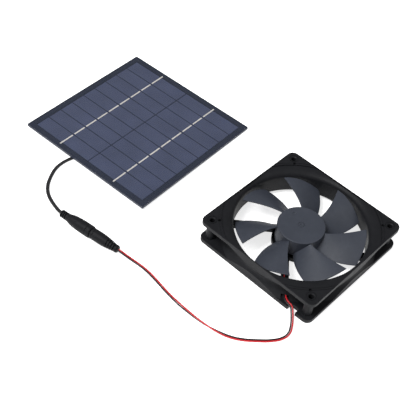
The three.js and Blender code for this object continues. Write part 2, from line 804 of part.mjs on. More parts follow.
// The stretch of a wire that the frame holds, from the driver board along the strut's channel.
function innerWire(name, side, finish) {
  const y = -STRUT_OFFSET - (side * WIRE_SPACING) / 2;
  const z = CHANNEL_FLOOR + GAP / 2 + WIRE_RADIUS;
  const points = [[15, z], [20, z], [36, z], [48, z], [51.4, z + 0.6], [54.6, z + 1.6]];
  const line = points.map(([x, height]) => new THREE.Vector3(x, y, height));
  return wire(name, line, 8, finish);
}

function innerWires() {
  const wires = new THREE.Group();
  wires.rotation.z = CHANNEL_ANGLE;
  wires.add(
    innerWire("red_wire_inner", 1, WIRE_RED),
    innerWire("black_wire_inner", -1, WIRE_BLACK),
  );
  return wires;
}

function panelCable() {
  const points = CABLE_ROUTE.map((p) => new THREE.Vector3(...p));
  return lead("panel_cable", points, CABLE_WIDTH, CABLE_HEIGHT, CABLE_STEPS, BLACK_RUBBER);
}

// ---------- assembly ----------
const fan = new THREE.Group();
fan.position.set(FAN_X, FAN_Y, 0);
fan.add(fanFrame(), blankLabel(), ...motorPieces(), innerWires());

const rotor = new THREE.Group();
rotor.position.copy(fan.position);
rotor.add(impeller(), ...rotorPieces());

// The panel's own frame is at the middle of its underside; it leans back from its junction cap.
const panel = new THREE.Group();
panel.rotation.set(-PANEL_TILT, 0, PANEL_TURN, "ZYX");
panel.position.set(
  PANEL_X,
  0,
  (PANEL_SIDE / 2) * Math.sin(PANEL_TILT),
);
panel.add(...panelPieces());

const group = new THREE.Group();
group.add(fan, rotor, panel);
group.add(connector(plugPieces()), connector(socketPieces()));
group.add(
  wire("red_wire", wirePoints(1), WIRE_STEPS, WIRE_RED),
  wire("black_wire", wirePoints(-1), WIRE_STEPS, WIRE_BLACK),
  panelCable(),
);

export default group;
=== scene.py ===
# %% [markdown]
# # A solar attic fan
# A square solar panel drives a square axial fan through a pair of leads joined by a barrel connector.
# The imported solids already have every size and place. This lesson gives them their moulded edges,
# their fine surfaces and their finishes, one piece at a time.

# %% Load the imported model
import math

import bmesh
import bpy
from mathutils import Matrix, Vector


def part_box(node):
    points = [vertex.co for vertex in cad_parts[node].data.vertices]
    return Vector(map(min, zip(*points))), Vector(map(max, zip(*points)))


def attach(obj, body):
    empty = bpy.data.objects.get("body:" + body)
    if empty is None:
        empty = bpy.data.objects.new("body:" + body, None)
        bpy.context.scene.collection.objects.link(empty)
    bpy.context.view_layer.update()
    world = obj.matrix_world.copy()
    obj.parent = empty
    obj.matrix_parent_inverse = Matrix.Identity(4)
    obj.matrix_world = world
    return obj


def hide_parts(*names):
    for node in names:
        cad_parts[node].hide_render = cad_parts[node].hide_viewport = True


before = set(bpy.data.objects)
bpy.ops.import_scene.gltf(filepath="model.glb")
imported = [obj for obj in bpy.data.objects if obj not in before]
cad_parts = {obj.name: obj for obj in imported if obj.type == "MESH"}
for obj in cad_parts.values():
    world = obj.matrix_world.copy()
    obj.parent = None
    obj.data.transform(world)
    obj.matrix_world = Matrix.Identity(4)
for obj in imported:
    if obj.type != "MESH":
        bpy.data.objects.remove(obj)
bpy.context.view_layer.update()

# %% [markdown]
# ## Lengths and places
# Blender counts in metres, and parts like these are drawn in millimetres, so one small function
# turns one into the other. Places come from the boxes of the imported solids: the fan stands on the
# middle of its frame's box, and the panel's own frame sits in the middle of its board, turned a
# little and leaning back on the cap underneath it.

# %% Millimetres, and the places of the fan and the panel
MM = 0.001


def mm(*values):
    """One length, or a point, from millimetres to metres."""
    lengths = [value * MM for value in values]
    return lengths[0] if len(lengths) == 1 else Vector(lengths)


def middle(node):
    low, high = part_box(node)
    return (Vector(low) + Vector(high)) / 2


fan_middle = middle("fan_frame")
FAN_PLACE = Matrix.Translation((fan_middle.x, fan_middle.y, 0))
PANEL_SIDE = 145
BOARD_THICKNESS = 1.5
CAP_SIZE = (26, 17)
CAP_CENTRE = (-14.3, -61.5)
CAP_HEIGHT = 2
CAP_REAR = PANEL_SIDE / 2 - (CAP_CENTRE[1] + CAP_SIZE[1] / 2)  # from the panel's rear edge
PANEL_TURN = math.radians(2.9)
PANEL_TILT = math.atan(CAP_HEIGHT / CAP_REAR)
PANEL_PLACE = (
    Matrix.Translation(middle("backing_board"))
    @ Matrix.Rotation(PANEL_TURN, 4, "Z")
    @ Matrix.Rotation(-PANEL_TILT, 4, "X")
    @ Matrix.Translation(mm(0, 0, -BOARD_THICKNESS / 2))
)
print("fan axis at", FAN_PLACE.translation, "panel at", PANEL_PLACE.translation)

# %% [markdown]
# ## The camera
# The camera looks down on the object from its front right with a long lens, so that the panel and
# the fan keep their proportions. It is turned a few degrees about its own line of sight. A camera
# looks along its own -Z with +Y up, so its matrix is its three directions and its place.

# %% Set up the camera
CAMERA_AZIMUTH = math.radians(38.104)
CAMERA_ELEVATION = math.radians(48.257)
CAMERA_ROLL = math.radians(7.141)
CAMERA_DISTANCE = mm(763.07)
CAMERA_TARGET = mm(25.13, -24.47, 0)
CAMERA_LENS = 76.21

level_right = Vector((math.cos(CAMERA_AZIMUTH), math.sin(CAMERA_AZIMUTH), 0))
level_back = Vector((level_right.y, -level_right.x, 0))
back = level_back * math.cos(CAMERA_ELEVATION) + Vector((0, 0, math.sin(CAMERA_ELEVATION)))
level_up = back.cross(level_right)
right = level_right * math.cos(CAMERA_ROLL) + level_up * math.sin(CAMERA_ROLL)
up = back.cross(right)
camera_data = bpy.data.cameras.new("camera")
camera_data.lens = CAMERA_LENS
camera_data.sensor_width = 36
camera = bpy.data.objects.new("camera", camera_data)
camera.matrix_world = Matrix.Translation(CAMERA_TARGET + back * CAMERA_DISTANCE) @ Matrix(
    (right, up, back)
).transposed().to_4x4()
bpy.context.collection.objects.link(camera)
bpy.context.scene.camera = camera
print("camera at", camera.matrix_world.translation)

# %% [markdown]
# ## Shader maths
# A finish is worked out by nodes. To read such sums as sums, one small class wraps a node's output
# and overloads the operators, so that `1 - grain * 0.2` adds its own Math nodes. Every other node
# comes from one method, which takes the node's settings first and then what goes in its sockets.

# %% A link that does arithmetic
class Link:
    """One output of a finish's nodes."""

    def __init__(self, tree, socket):
        self.tree = tree
        self.socket = socket

    def node(self, kind, settings, sockets, output=0):
        """Adds a node. A ramp's stops are (position, grey or colour) pairs under the name stops."""
        made = self.tree.nodes.new(kind)
        for name, value in settings.items():
            if name == "stops":
                set_stops(made.color_ramp, value)
            else:
                setattr(made, name, value)
        for name, value in sockets.items():
            feed(self.tree, made.inputs[name], value)
        return Link(self.tree, made.outputs[output])

    def maths(self, operation, first, second):
        return self.node("ShaderNodeMath", {"operation": operation}, {0: first, 1: second})

    def __add__(self, other):
        return self.maths("ADD", self, other)

    __radd__ = __add__

    def __rsub__(self, other):
        return self.maths("SUBTRACT", other, self)

    def __mul__(self, other):
        return self.maths("MULTIPLY", self, other)

    __rmul__ = __mul__

    def __truediv__(self, other):
        return self.maths("DIVIDE", self, other)

    def __lt__(self, other):
        return self.maths("LESS_THAN", self, other)


def feed(tree, socket, value):
    """Puts a value in a socket, or links it when the value is a Link."""
    if isinstance(value, Link):
        tree.links.new(value.socket, socket)
    else:
        socket.default_value = value


def set_stops(ramp, stops):
    while len(ramp.elements) < len(stops):
        ramp.elements.new(1.0)
    for element, (position, level) in zip(ramp.elements, stops):
        element.position = position
        element.color = (level, level, level, 1) if isinstance(level, float) else (*level, 1)


print("shader maths is ready")

# %% [markdown]
# ## Patterns that the finishes share
# Moulded plastic has a fine spark-eroded grain, broad patches where it cooled unevenly, and a
# little dust. Each is noise at its own scale, read in Object coordinates, which on these pieces
# are metres in the shared frame.

# %% Start a finish, and its shared patterns
def new_finish(name, **shader_values):
    """A material, its shader and its Object coordinates. Values name shader sockets."""
    material = bpy.data.materials.new(name)
    material.use_nodes = True
    shader = material.node_tree.nodes["Principled BSDF"]
    places = material.node_tree.nodes.new("ShaderNodeTexCoord")
    for socket, value in shader_values.items():
        shader.inputs[socket.replace("_", " ")].default_value = value
    return material, shader, Link(material.node_tree, places.outputs["Object"])


def wire_up(shader, **links):
    for socket, link in links.items():
        feed(shader.id_data, shader.inputs[socket.replace("_", " ")], link)


def noise(places, size, detail=2.0, roughness=0.5):
    """Cloudy noise whose patches are about size millimetres across."""
    sockets = {"Vector": places, "Scale": 1 / mm(size), "Detail": detail, "Roughness": roughness}
    return places.node("ShaderNodeTexNoise", {}, sockets)


def blend_colours(factor, first, second):
    """A colour between two others; factor 0 gives the first."""
    colours = [value if isinstance(value, Link) else (*value, 1) for value in (first, second)]
    sockets = {0: factor, 6: colours[0], 7: colours[1]}
    return factor.node("ShaderNodeMix", {"data_type": "RGBA"}, sockets, output=2)


def ramp(level, *stops):
    return level.node("ShaderNodeValToRGB", {"stops": stops}, {"Fac": level})


def bumped(height, depth, strength):
    """A normal that follows a height from 0 to 1, depth millimetres tall."""
    sockets = {"Height": height, "Distance": mm(depth), "Strength": strength}
    return height.node("ShaderNodeBump", {}, sockets)


print("patterns are ready")

# %% [markdown]
# ## Moulded plastics
# The fan's frame is a black glass-filled plastic with a satin, faintly grainy skin. The blades are
# the same family of plastic in a bluer grey, a little smoother. The connector is a matt, soft
# thermoplastic. All three are the same recipe: a dark colour that drifts slightly, a roughness
# that drifts with it, and a very shallow grain.

# %% The moulded finishes
def moulded_finish(name, dark, light, roughness, grain_size, grain_depth, gloss=0.5):
    material, shader, places = new_finish(name, Specular_IOR_Level=gloss)
    patches = ramp(noise(places, 14, detail=3.0), (0.3, 0.0), (0.7, 1.0))
    grain = noise(places, grain_size, detail=3.0, roughness=0.6)
    wear = ramp(noise(places, 3.5, detail=4.0), (0.52, 0.0), (0.75, 1.0))
    wire_up(
        shader,
        Base_Color=blend_colours(patches * 0.7 + wear * 0.3, dark, light),
        Roughness=roughness - 0.06 * patches + 0.08 * grain,
        Normal=bumped(grain, grain_depth, 0.6),
    )
    return material


FRAME_FINISH = moulded_finish(
    "frame_satin", (0.0085, 0.0089, 0.0106), (0.013, 0.0135, 0.0158), 0.5, 0.5, 0.035, gloss=0.14
)
BLADE_FINISH = moulded_finish(
    "blade_satin", (0.037, 0.042, 0.056), (0.046, 0.052, 0.068), 0.46, 0.6, 0.02, gloss=0.3
)
CONNECTOR_FINISH = moulded_finish(
    "connector_matt", (0.0065, 0.0068, 0.0084), (0.0105, 0.0109, 0.0128), 0.56, 0.35, 0.04, gloss=0.14
)
CHIP_FINISH = moulded_finish(
    "chip_epoxy", (0.012, 0.012, 0.013), (0.02, 0.02, 0.022), 0.62, 0.2, 0.02
)
NYLON_FINISH = moulded_finish(
    "nylon_white", (0.62, 0.6, 0.54), (0.7, 0.68, 0.62), 0.45, 0.5, 0.02
)
print("moulded finishes:", FRAME_FINISH.name, BLADE_FINISH.name, CONNECTOR_FINISH.name)

# %% [markdown]
# ## Insulation
# The wires' insulation is extruded, so it is smooth and slightly glossy, with faint drawing marks.
# The panel's flat lead is a duller black.

# %% The insulation finishes
def insulation_finish(name, dark, light, roughness):
    material, shader, places = new_finish(name, Specular_IOR_Level=0.45)
    drift = noise(places, 9, detail=2.0)
    marks = noise(places, 0.7, detail=1.0)
    wire_up(
        shader,
        Base_Color=blend_colours(drift, dark, light),
        Roughness=roughness + 0.1 * marks,
        Normal=bumped(marks, 0.02, 0.5),
    )
    return material


RED_WIRE_FINISH = insulation_finish("red_insulation", (0.5, 0.012, 0.018), (0.6, 0.022, 0.03), 0.34)
BLACK_WIRE_FINISH = insulation_finish("black_insulation", (0.006, 0.006, 0.008), (0.011, 0.011, 0.013), 0.34)
LEAD_FINISH = insulation_finish("lead_sheath", (0.008, 0.0082, 0.0095), (0.014, 0.014, 0.016), 0.42)
print("insulation finishes:", RED_WIRE_FINISH.name, BLACK_WIRE_FINISH.name, LEAD_FINISH.name)

# %% [markdown]
# ## The leads
# Two 1.3 mm wires leave the fan through a notch in its lower flange, lie on the floor as a loose
# pair that rolls over half a turn, and rise into the tail of the barrel plug. A stiff flat lead
# leaves the panel and ends in the socket. The whole of each lead lies in view, so its length is
# the length of its route. A cord is best drawn as one curve through a few points, because a curve
# bends as a wire does. Each row here is x, y and height in millimetres, then the pair's roll.

# %% The routes
WIRE_RADIUS = 0.65
WIRE_SPACING = 1.45
PAIR_ROUTE = [
    (10.1, -115.8, 5.6, 0),
    (14, -115.1, 4.9, 0),
    (18, -113.9, 3.4, 0),
    (23, -112.4, 1.6, 0),
    (29.5, -111.2, 0.75, 0),
    (37.1, -110.9, 0.75, 0),
    (45.6, -111.5, 0.75, 0),
    (55, -112.7, 0.75, 0),
    (62.6, -113.8, 0.75, 0),
    (70.5, -114.6, 0.75, 0),
    (79.7, -115.3, 1.05, 25),
    (89.7, -115.5, 1.45, 65),
    (99.8, -115.2, 1.55, 90),
    (108.8, -114.1, 1.45, 115),
    (117.9, -112, 1.05, 155),
    (126.7, -108.9, 0.75, 180),
    (135, -104.1, 0.75, 180),
    (145.4, -94.9, 0.75, 180),
    (152.7, -86.9, 0.75, 180),
    (157, -79.1, 0.75, 180),
    (157.4, -72.5, 0.8, 180),
    (154.5, -66.3, 1.15, 180),
    (150.9, -61.4, 2.1, 180),
    (147.2, -57.3, 3.2, 180),
    (143.7, -54.4, 4.9, 180),
    (139.7, -53.8, 5.5, 180),
    (136.2, -52.5, 5.5, 180),
    (133.8, -50.5, 5.5, 180),
    (131.9, -48.2, 5.4, 180),
    (129.7, -45.55, 5.3, 180),
]
LEAD_ROUTE = [
    (-97.5, -71.1, 1),
    (-98.6, -76.5, 0.95),
    (-99, -82, 0.9),
    (-98.5, -87.5, 0.9),
    (-96.9, -93, 0.9),
    (-94.2, -98.5, 0.9),
    (-90.6, -104.3, 0.9),
    (-86.6, -109.3, 0.9),
    (-82, -113.3, 0.9),
    (-76.8, -116.4, 1.05),
    (-71.2, -118.7, 1.7),
    (-65.4, -120.7, 3),
    (-60.2, -122.3, 4.4),
    (-55.8, -123.4, 5.3),
    (-51.3, -123.7, 5.6),
]


def wire_route(side):
    """One wire's points, on the given side of the pair's middle line."""
    reach = side * WIRE_SPACING / 2
    points = []
    for i, (x, y, z, roll) in enumerate(PAIR_ROUTE):
        before = PAIR_ROUTE[max(i - 1, 0)]
        after = PAIR_ROUTE[min(i + 1, len(PAIR_ROUTE) - 1)]
        heading = math.atan2(after[1] - before[1], after[0] - before[0])
        sideways = reach * math.cos(math.radians(roll))
        rise = reach * math.sin(math.radians(roll))
        across = (-sideways * math.sin(heading), sideways * math.cos(heading))
        points.append(mm(x + across[0], y + across[1], z + rise))
    return points


def round_wire(name, points, radius):
    """A curve through the points, with a round section and closed ends."""
    curve = bpy.data.curves.new(name, "CURVE")
    curve.dimensions = "3D"
    spline = curve.splines.new("BEZIER")
    spline.bezier_points.add(len(points) - 1)
    for knot, point in zip(spline.bezier_points, points):
        knot.co = point
        knot.handle_left_type = "AUTO"
        knot.handle_right_type = "AUTO"
    curve.resolution_u = 6
    curve.bevel_depth = radius
    curve.bevel_resolution = 4
    curve.use_fill_caps = True
    piece = bpy.data.objects.new(name, curve)
    bpy.context.collection.objects.link(piece)
    return piece


def hand_over(piece, body, finish, slot, *nodes):
    """Paints a finished piece, makes it ride on its body and lets it stand for its solids."""
    piece.data.materials.clear()
    piece.data.materials.append(finish)
    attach(piece, body)
    if nodes:
        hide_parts(*nodes)
    return piece


red_wire = round_wire("red_wire_fine", wire_route(1), mm(WIRE_RADIUS))
black_wire = round_wire("black_wire_fine", wire_route(-1), mm(WIRE_RADIUS))
hand_over(red_wire, "fan", RED_WIRE_FINISH, "red_insulation", "red_wire")
hand_over(black_wire, "fan", BLACK_WIRE_FINISH, "black_insulation", "black_wire")
for wire in (red_wire, black_wire):
    print(wire.name, "is", round(wire.data.splines[0].calc_length() * 1000), "mm long")

# %% [markdown]
# ## The flat lead
# Two cores lie side by side in one sheath, so its section is a figure of eight, 3.2 mm wide and
# 1.7 mm high. A round bevel can't give that, so a section is carried along the route: at each step
# it stands across the route, with its width kept level.

# %% Sweep the flat lead
LEAD_WIDTH = 3.2
LEAD_HEIGHT = 1.7
WAIST_DEPTH = 0.34  # as a share of the height, between the two cores
WAIST_WIDTH = 0.38
CORE_FULLNESS = 0.72  # 1 gives an ellipse, and less gives rounder shoulders


def smooth_route(points, steps):
    """Points along a Catmull-Rom curve through the given points."""
    ends = [2 * points[0] - points[1], *points, 2 * points[-1] - points[-2]]
    route = []
    for a, b, c, d in zip(ends, ends[1:], ends[2:], ends[3:]):
        for i in range(steps):
            t = i / steps
            square = (2 * a - 5 * b + 4 * c - d) * t**2
            cube = (3 * b - a - 3 * c + d) * t**3
            route.append(0.5 * (2 * b + (c - a) * t + square + cube))
    route.append(points[-1])
    return route


def twin_section(corners=28):
    """The outline of two joined cores, as (across, up) in metres."""
    outline = []
    for i in range(corners):
        angle = 2 * math.pi * i / corners
        across = LEAD_WIDTH / 2 * math.cos(angle)
        waist = 1 - WAIST_DEPTH * math.exp(-((across / WAIST_WIDTH) ** 2))
        up_and_down = LEAD_HEIGHT / 2 * abs(math.sin(angle)) ** CORE_FULLNESS * waist
        outline.append((mm(across), mm(math.copysign(up_and_down, math.sin(angle)))))
    return outline


def flat_lead(name, route):
    section = twin_section()
    vertices = []
    for i, point in enumerate(route):
        ahead = route[min(i + 1, len(route) - 1)] - route[max(i - 1, 0)]
        across = Vector((0, 0, 1)).cross(ahead).normalized()
        upward = ahead.cross(across).normalized()
        vertices += [point + across * a + upward * b for a, b in section]
    count = len(section)
    faces = [tuple(reversed(range(count)))]
    for i in range(len(route) - 1):
        for j in range(count):
            k = (j + 1) % count
            faces.append((i * count + j, i * count + k, (i + 1) * count + k, (i + 1) * count + j))
    faces.append(tuple(range((len(route) - 1) * count, len(route) * count)))
    mesh = bpy.data.meshes.new(name)
    mesh.from_pydata(vertices, [], faces)
    mesh.shade_smooth()
    piece = bpy.data.objects.new(name, mesh)
    bpy.context.collection.objects.link(piece)
    return piece


lead_line = smooth_route([mm(*point) for point in LEAD_ROUTE], 6)
lead_length = sum((b - a).length for a, b in zip(lead_line, lead_line[1:]))
panel_lead = flat_lead("panel_lead", lead_line)
hand_over(panel_lead, "panel", LEAD_FINISH, "moulded_rubber", "panel_cable")
print("panel lead is", round(lead_length * 1000), "mm long")

# %% [markdown]
# ## Modelling by hand, in code
# Every hard piece starts as a primitive at its size and place. Its edges and faces are picked by
# where they are, shaped in edit mode, and finished with modifiers that are applied. A mesh operator
# acts on all that is selected, so everything is deselected before each step.

# %% Picking, shaping and applying
def pick(piece):
    """Selects one piece and nothing else."""
    if bpy.context.object and bpy.context.object.mode != "OBJECT":
        bpy.ops.object.mode_set(mode="OBJECT")
    bpy.ops.object.select_all(action="DESELECT")
    if piece is not None:
        piece.select_set(True)
        bpy.context.view_layer.objects.active = piece
    return piece


def name_new(name):
    """Names the primitive that was just added and puts its place in its mesh."""
    piece = bpy.context.object
    piece.name = name
    piece.data.name = name
    bpy.ops.object.transform_apply(location=True, rotation=True, scale=True)
    return piece


def pick_edges(piece, wanted):
    """Opens the piece in edit mode with the edges selected whose two ends pass the test."""
    pick(piece)
    bpy.ops.object.mode_set(mode="EDIT")
    bpy.ops.mesh.select_mode(type="EDGE")
    bpy.ops.mesh.select_all(action="DESELECT")
    mesh = bmesh.from_edit_mesh(piece.data)
    for edge in mesh.edges:
        edge.select_set(wanted(edge.verts[0].co, edge.verts[1].co))
    bmesh.update_edit_mesh(piece.data)


def round_edges(piece, wanted, radius, steps):
    pick_edges(piece, wanted)
    bpy.ops.mesh.bevel(offset=mm(radius), segments=steps, affect="EDGES")
    bpy.ops.object.mode_set(mode="OBJECT")


def modify(piece, kind, **settings):
    """Adds one modifier and applies it."""
    pick(piece)
    modifier = piece.modifiers.new(kind.lower(), kind)
    for name, value in settings.items():
        setattr(modifier, name, value)
    bpy.ops.object.modifier_apply(modifier=modifier.name)


def combine(piece, operation, *others):
    """Welds other pieces to this one, carves them out of it, or keeps what they share."""
    for other in others:
        modify(piece, "BOOLEAN", operation=operation, object=other, solver="EXACT")
        bpy.data.objects.remove(other)
    return piece


def join(piece, *others):
    """Makes one object of several shells."""
    pick(piece)
    for other in others:
        other.select_set(True)
    bpy.ops.object.join()
    return piece


def move_mesh(piece, matrix):
    """Puts a piece in its place, and leaves the object itself at the origin."""
    pick(piece)
    piece.matrix_world = matrix @ piece.matrix_world
    bpy.ops.object.transform_apply(location=True, rotation=True, scale=True)
    return piece


def copy_of(piece, name, matrix):
    twin = piece.copy()
    twin.data = piece.data.copy()
    twin.name = name
    bpy.context.collection.objects.link(twin)
    return move_mesh(twin, matrix)


def smooth(piece, angle=30):
    """Smooth shading with crisp corners, weighted so that large flat faces stay flat."""
    pick(piece)
    bpy.ops.object.shade_smooth_by_angle(angle=math.radians(angle))
    modify(piece, "WEIGHTED_NORMAL", keep_sharp=True, weight=60)
    return piece


print("modelling helpers are ready")

# %% [markdown]
# ## Two starting shapes
# Plates and bars start as a cube whose upright corners and rims are bevelled. Round pieces start
# as a circle whose vertices are moved to the outline of half a section, which is then spun about
# the axis. Moulded parts have no sharp corners, so the outline's corners are cut back first.

# %% A rounded block, a turned piece and a plain rod
def rounded_block(name, size, centre, corner=0.0, rim=0.0, rim_steps=3):
    """A block of the given size about a centre. All lengths are millimetres."""
    pick(None)
    bpy.ops.mesh.primitive_cube_add(size=1, location=mm(*centre), scale=mm(*size))
    piece = name_new(name)
    low = mm(centre[2] - size[2] / 2)
    high = mm(centre[2] + size[2] / 2)
    if corner:
        round_edges(piece, lambda a, b: abs(a.z - b.z) > mm(size[2]) / 2, corner, 8)
    if rim:
        for level in (low, high):
            round_edges(
                piece, lambda a, b: max(abs(a.z - level), abs(b.z - level)) < 1e-7, rim, rim_steps
            )
    return piece


def soften(outline, radius, steps=3):
    """Replaces each corner of a closed outline with a small curve."""
    softened = []
    for i, corner in enumerate(outline):
        before = Vector(outline[i - 1])
        after = Vector(outline[(i + 1) % len(outline)])
        here = Vector(corner)
        if here.x < 1e-9:
            softened.append(tuple(here))
            continue
        reach_in = min(radius, (before - here).length * 0.45)
        reach_out = min(radius, (after - here).length * 0.45)
        start = here + (before - here).normalized() * reach_in
        end = here + (after - here).normalized() * reach_out
        for k in range(steps + 1):
            t = k / steps
            softened.append(tuple(start * (1 - t) ** 2 + here * 2 * t * (1 - t) + end * t**2))
    return softened


def turned(name, outline, sides=96):
    """Spins a closed outline of (radius, height) points about Z."""
    pick(None)
    bpy.ops.mesh.primitive_circle_add(vertices=len(outline), radius=mm(1))
    piece = name_new(name)
    for vertex, (radius, height) in zip(piece.data.vertices, outline):
        vertex.co = mm(radius, 0, height)
    bpy.ops.object.mode_set(mode="EDIT")
    bpy.ops.mesh.select_all(action="SELECT")
    bpy.ops.mesh.spin(steps=sides, angle=2 * math.pi, center=(0, 0, 0), axis=(0, 0, 1))
    bpy.ops.mesh.select_all(action="SELECT")
    bpy.ops.mesh.remove_doubles(threshold=1e-7)
    bpy.ops.mesh.dissolve_degenerate(threshold=1e-8)
    bpy.ops.mesh.delete_loose()
    bpy.ops.mesh.select_all(action="SELECT")
    bpy.ops.mesh.normals_make_consistent(inside=False)
    bpy.ops.object.mode_set(mode="OBJECT")
    return piece


def rod(name, radius, low, high, x=0, y=0, sides=32):
    pick(None)
    centre = mm(x, y, (low + high) / 2)
    bpy.ops.mesh.primitive_cylinder_add(
        vertices=sides, radius=mm(radius), depth=mm(high - low), location=centre
    )
    return name_new(name)


print("starting shapes are ready")

# %% [markdown]
# ## The fan's frame
# The frame is one moulding: two square flanges with rounded corners, held apart by the round duct
# wall and a screw tube in each corner. The wall spreads out towards both flanges, and since that
# flare is wider than the frame, the four flat sides cut it off. The frame is easiest to make in the
# order of its drawing: weld the plates, duct and tubes, then carve out the air path and the holes.

# %% Flanges, duct and screw tubes
FAN_SIDE = 120
FAN_HEIGHT = 25
HOLE_PITCH = 105
FLANGE = 4
THROAT_RADIUS = 56.4
DUCT_RADIUS = 58.3
WALL_FLARE = 7.2
WALL_FLARE_HEIGHT = 8
WALL_FLARE_CURVE = 1.6
WALL_STEPS = 10
WALL_INSET = 0.1  # how far the cut flare stays behind the flanges' edges
CUTTER_HEIGHT = 40  # any height well over the frame's
MOUTH_RADIUS = 64.2
MOUTH_STEP_RADIUS = 66.4
MOUTH_STEP_DEPTH = 0.5
MOUTH_DEPTH = 5.5
SCREW_TUBE_RADIUS = 4
ROUND_STEPS = 160
CORNERS = [(sx * HOLE_PITCH / 2, sy * HOLE_PITCH / 2) for sx in (-1, 1) for sy in (-1, 1)]


def cut_square(piece, side):
    """Cuts a round piece down to a square one, all through the frame's height."""
    size = (side, side, CUTTER_HEIGHT)
    return combine(piece, "INTERSECT", rounded_block("square", size, (0, 0, FAN_HEIGHT / 2)))


flange_size = (FAN_SIDE, FAN_SIDE, FLANGE)
fan_casing = rounded_block("fan_casing", flange_size, (0, 0, FLANGE / 2), 6, 0.45)
upper_flange = rounded_block("upper_flange", flange_size, (0, 0, FAN_HEIGHT - FLANGE / 2), 6, 0.45)
wall_steps = [i / WALL_STEPS for i in range(WALL_STEPS + 1)]
lower_wall = [(DUCT_RADIUS + WALL_FLARE, FLANGE / 2)] + [
    (DUCT_RADIUS + WALL_FLARE * (1 - step) ** WALL_FLARE_CURVE, FLANGE + WALL_FLARE_HEIGHT * step)
    for step in wall_steps
]
upper_wall = [(r, FAN_HEIGHT - z) for r, z in reversed(lower_wall)]
wall_outline = [(0, FLANGE / 2), *lower_wall, *upper_wall, (0, FAN_HEIGHT - FLANGE / 2)]
duct_wall = turned("duct_wall", wall_outline, ROUND_STEPS)
cut_square(duct_wall, FAN_SIDE - 2 * WALL_INSET)
tube_ends = (FLANGE / 2, FAN_HEIGHT - FLANGE / 2)
screw_tubes = [rod("screw_tube", SCREW_TUBE_RADIUS, *tube_ends, x, y) for x, y in CORNERS]
combine(fan_casing, "UNION", upper_flange, duct_wall, *screw_tubes)
print("casing blank has", len(fan_casing.data.polygons), "faces")

# %% [markdown]
# ## The air path and the holes
# The cutter for the air path is turned as one piece, with the shallow step that rings each mouth,
# and squared off so that a thin wall stays on each side. The screw holes have a small countersink
# and a fine ring around them, and beside each is the round mark of an ejector pin. Two shallow
# arcs, which the flat sides cut short, run round the upper mouth.

# %% Carve the air path and the holes
def mouth_radius(depth):
    """The flare is a quarter of an ellipse, from the step down to the throat."""
    fraction = (depth - MOUTH_STEP_DEPTH) / (MOUTH_DEPTH - MOUTH_STEP_DEPTH)
    return MOUTH_RADIUS - (MOUTH_RADIUS - THROAT_RADIUS) * math.sqrt(1 - (1 - fraction) ** 2)


FLARE_STEPS = 9
flare_depths = [
    MOUTH_STEP_DEPTH + (MOUTH_DEPTH - MOUTH_STEP_DEPTH) * (i / FLARE_STEPS) ** 1.7
    for i in range(FLARE_STEPS + 1)
]
lower_flare = [(mouth_radius(depth), depth) for depth in flare_depths]
upper_flare = [(r, FAN_HEIGHT - depth) for r, depth in reversed(lower_flare)]
air_path_outline = [
    (0, -1),
    (MOUTH_STEP_RADIUS, -1),
    (MOUTH_STEP_RADIUS, MOUTH_STEP_DEPTH),
    *lower_flare,
    *upper_flare,
    (MOUTH_STEP_RADIUS, FAN_HEIGHT - MOUTH_STEP_DEPTH),
    (MOUTH_STEP_RADIUS, FAN_HEIGHT + 1),
    (0, FAN_HEIGHT + 1),
]
air_path = turned("air_path", air_path_outline, ROUND_STEPS)
SIDE_WALL = 0.85
cut_square(air_path, FAN_SIDE - 2 * SIDE_WALL)
combine(fan_casing, "DIFFERENCE", air_path)

HOLE_STEPS = 40
HOLE_RADIUS = 2.2
COUNTERSINK_RADIUS = 2.9
COUNTERSINK_DEPTH = 0.6
BOSS_RADIUS = 3.5
BOSS_RING_RADIUS = 4.3
BOSS_RING_DEPTH = 0.45
PIN_MARK_RADIUS = 1.3
PIN_MARK_DEPTH = 2
PIN_MARK_OFFSET = (4.3, 4.1)  # from the screw hole towards the middle
ARCS = ((68.3, 69.1), (MOUTH_STEP_RADIUS, 66.9))
ARC_DEPTH = 0.3


def ring_cutter(inner, outer, depth, x=0, y=0, sides=ROUND_STEPS):
    """A ring that is sunk into the upper face by the given depth."""
    return combine(
        rod("ring", outer, FAN_HEIGHT - depth, FAN_HEIGHT + 1, x, y, sides),
        "DIFFERENCE",
        rod("ring_core", inner, FAN_HEIGHT - 1, FAN_HEIGHT + 2, x, y, sides),
    )


sunk = COUNTERSINK_RADIUS
screw_hole_outline = [(0, -1), (sunk, -1), (sunk, 0.001), (HOLE_RADIUS, COUNTERSINK_DEPTH)]
screw_hole_outline += [(r, FAN_HEIGHT - z) for r, z in reversed(screw_hole_outline)]
for x, y in CORNERS:
    hole = turned("screw_hole", screw_hole_outline, HOLE_STEPS)
    move_mesh(hole, Matrix.Translation(mm(x, y, 0)))
    pin_x = x - math.copysign(PIN_MARK_OFFSET[0], x)
    pin_y = y - math.copysign(PIN_MARK_OFFSET[1], y)
    pin_mark = rod("pin_mark", PIN_MARK_RADIUS, FAN_HEIGHT - PIN_MARK_DEPTH, FAN_HEIGHT + 1, sides=20)
    move_mesh(pin_mark, Matrix.Translation(mm(pin_x, pin_y, 0)))
    ring = ring_cutter(BOSS_RADIUS, BOSS_RING_RADIUS, BOSS_RING_DEPTH, x, y, HOLE_STEPS)
    combine(fan_casing, "DIFFERENCE", hole, pin_mark, ring)
for inner, outer in ARCS:
    combine(fan_casing, "DIFFERENCE", ring_cutter(inner, outer, ARC_DEPTH))
print("carved casing has", len(fan_casing.data.polygons), "faces")

# %% [markdown]
# ## The motor's seat
# Four struts run from the duct wall past the middle rather than to it, so that a blade never lines
# up with a strut. They hold a round base with a low rim for the circuit board, a collar for the
# bearing tube and a shallow recess for the label. One strut is hollowed along its top for the wires.

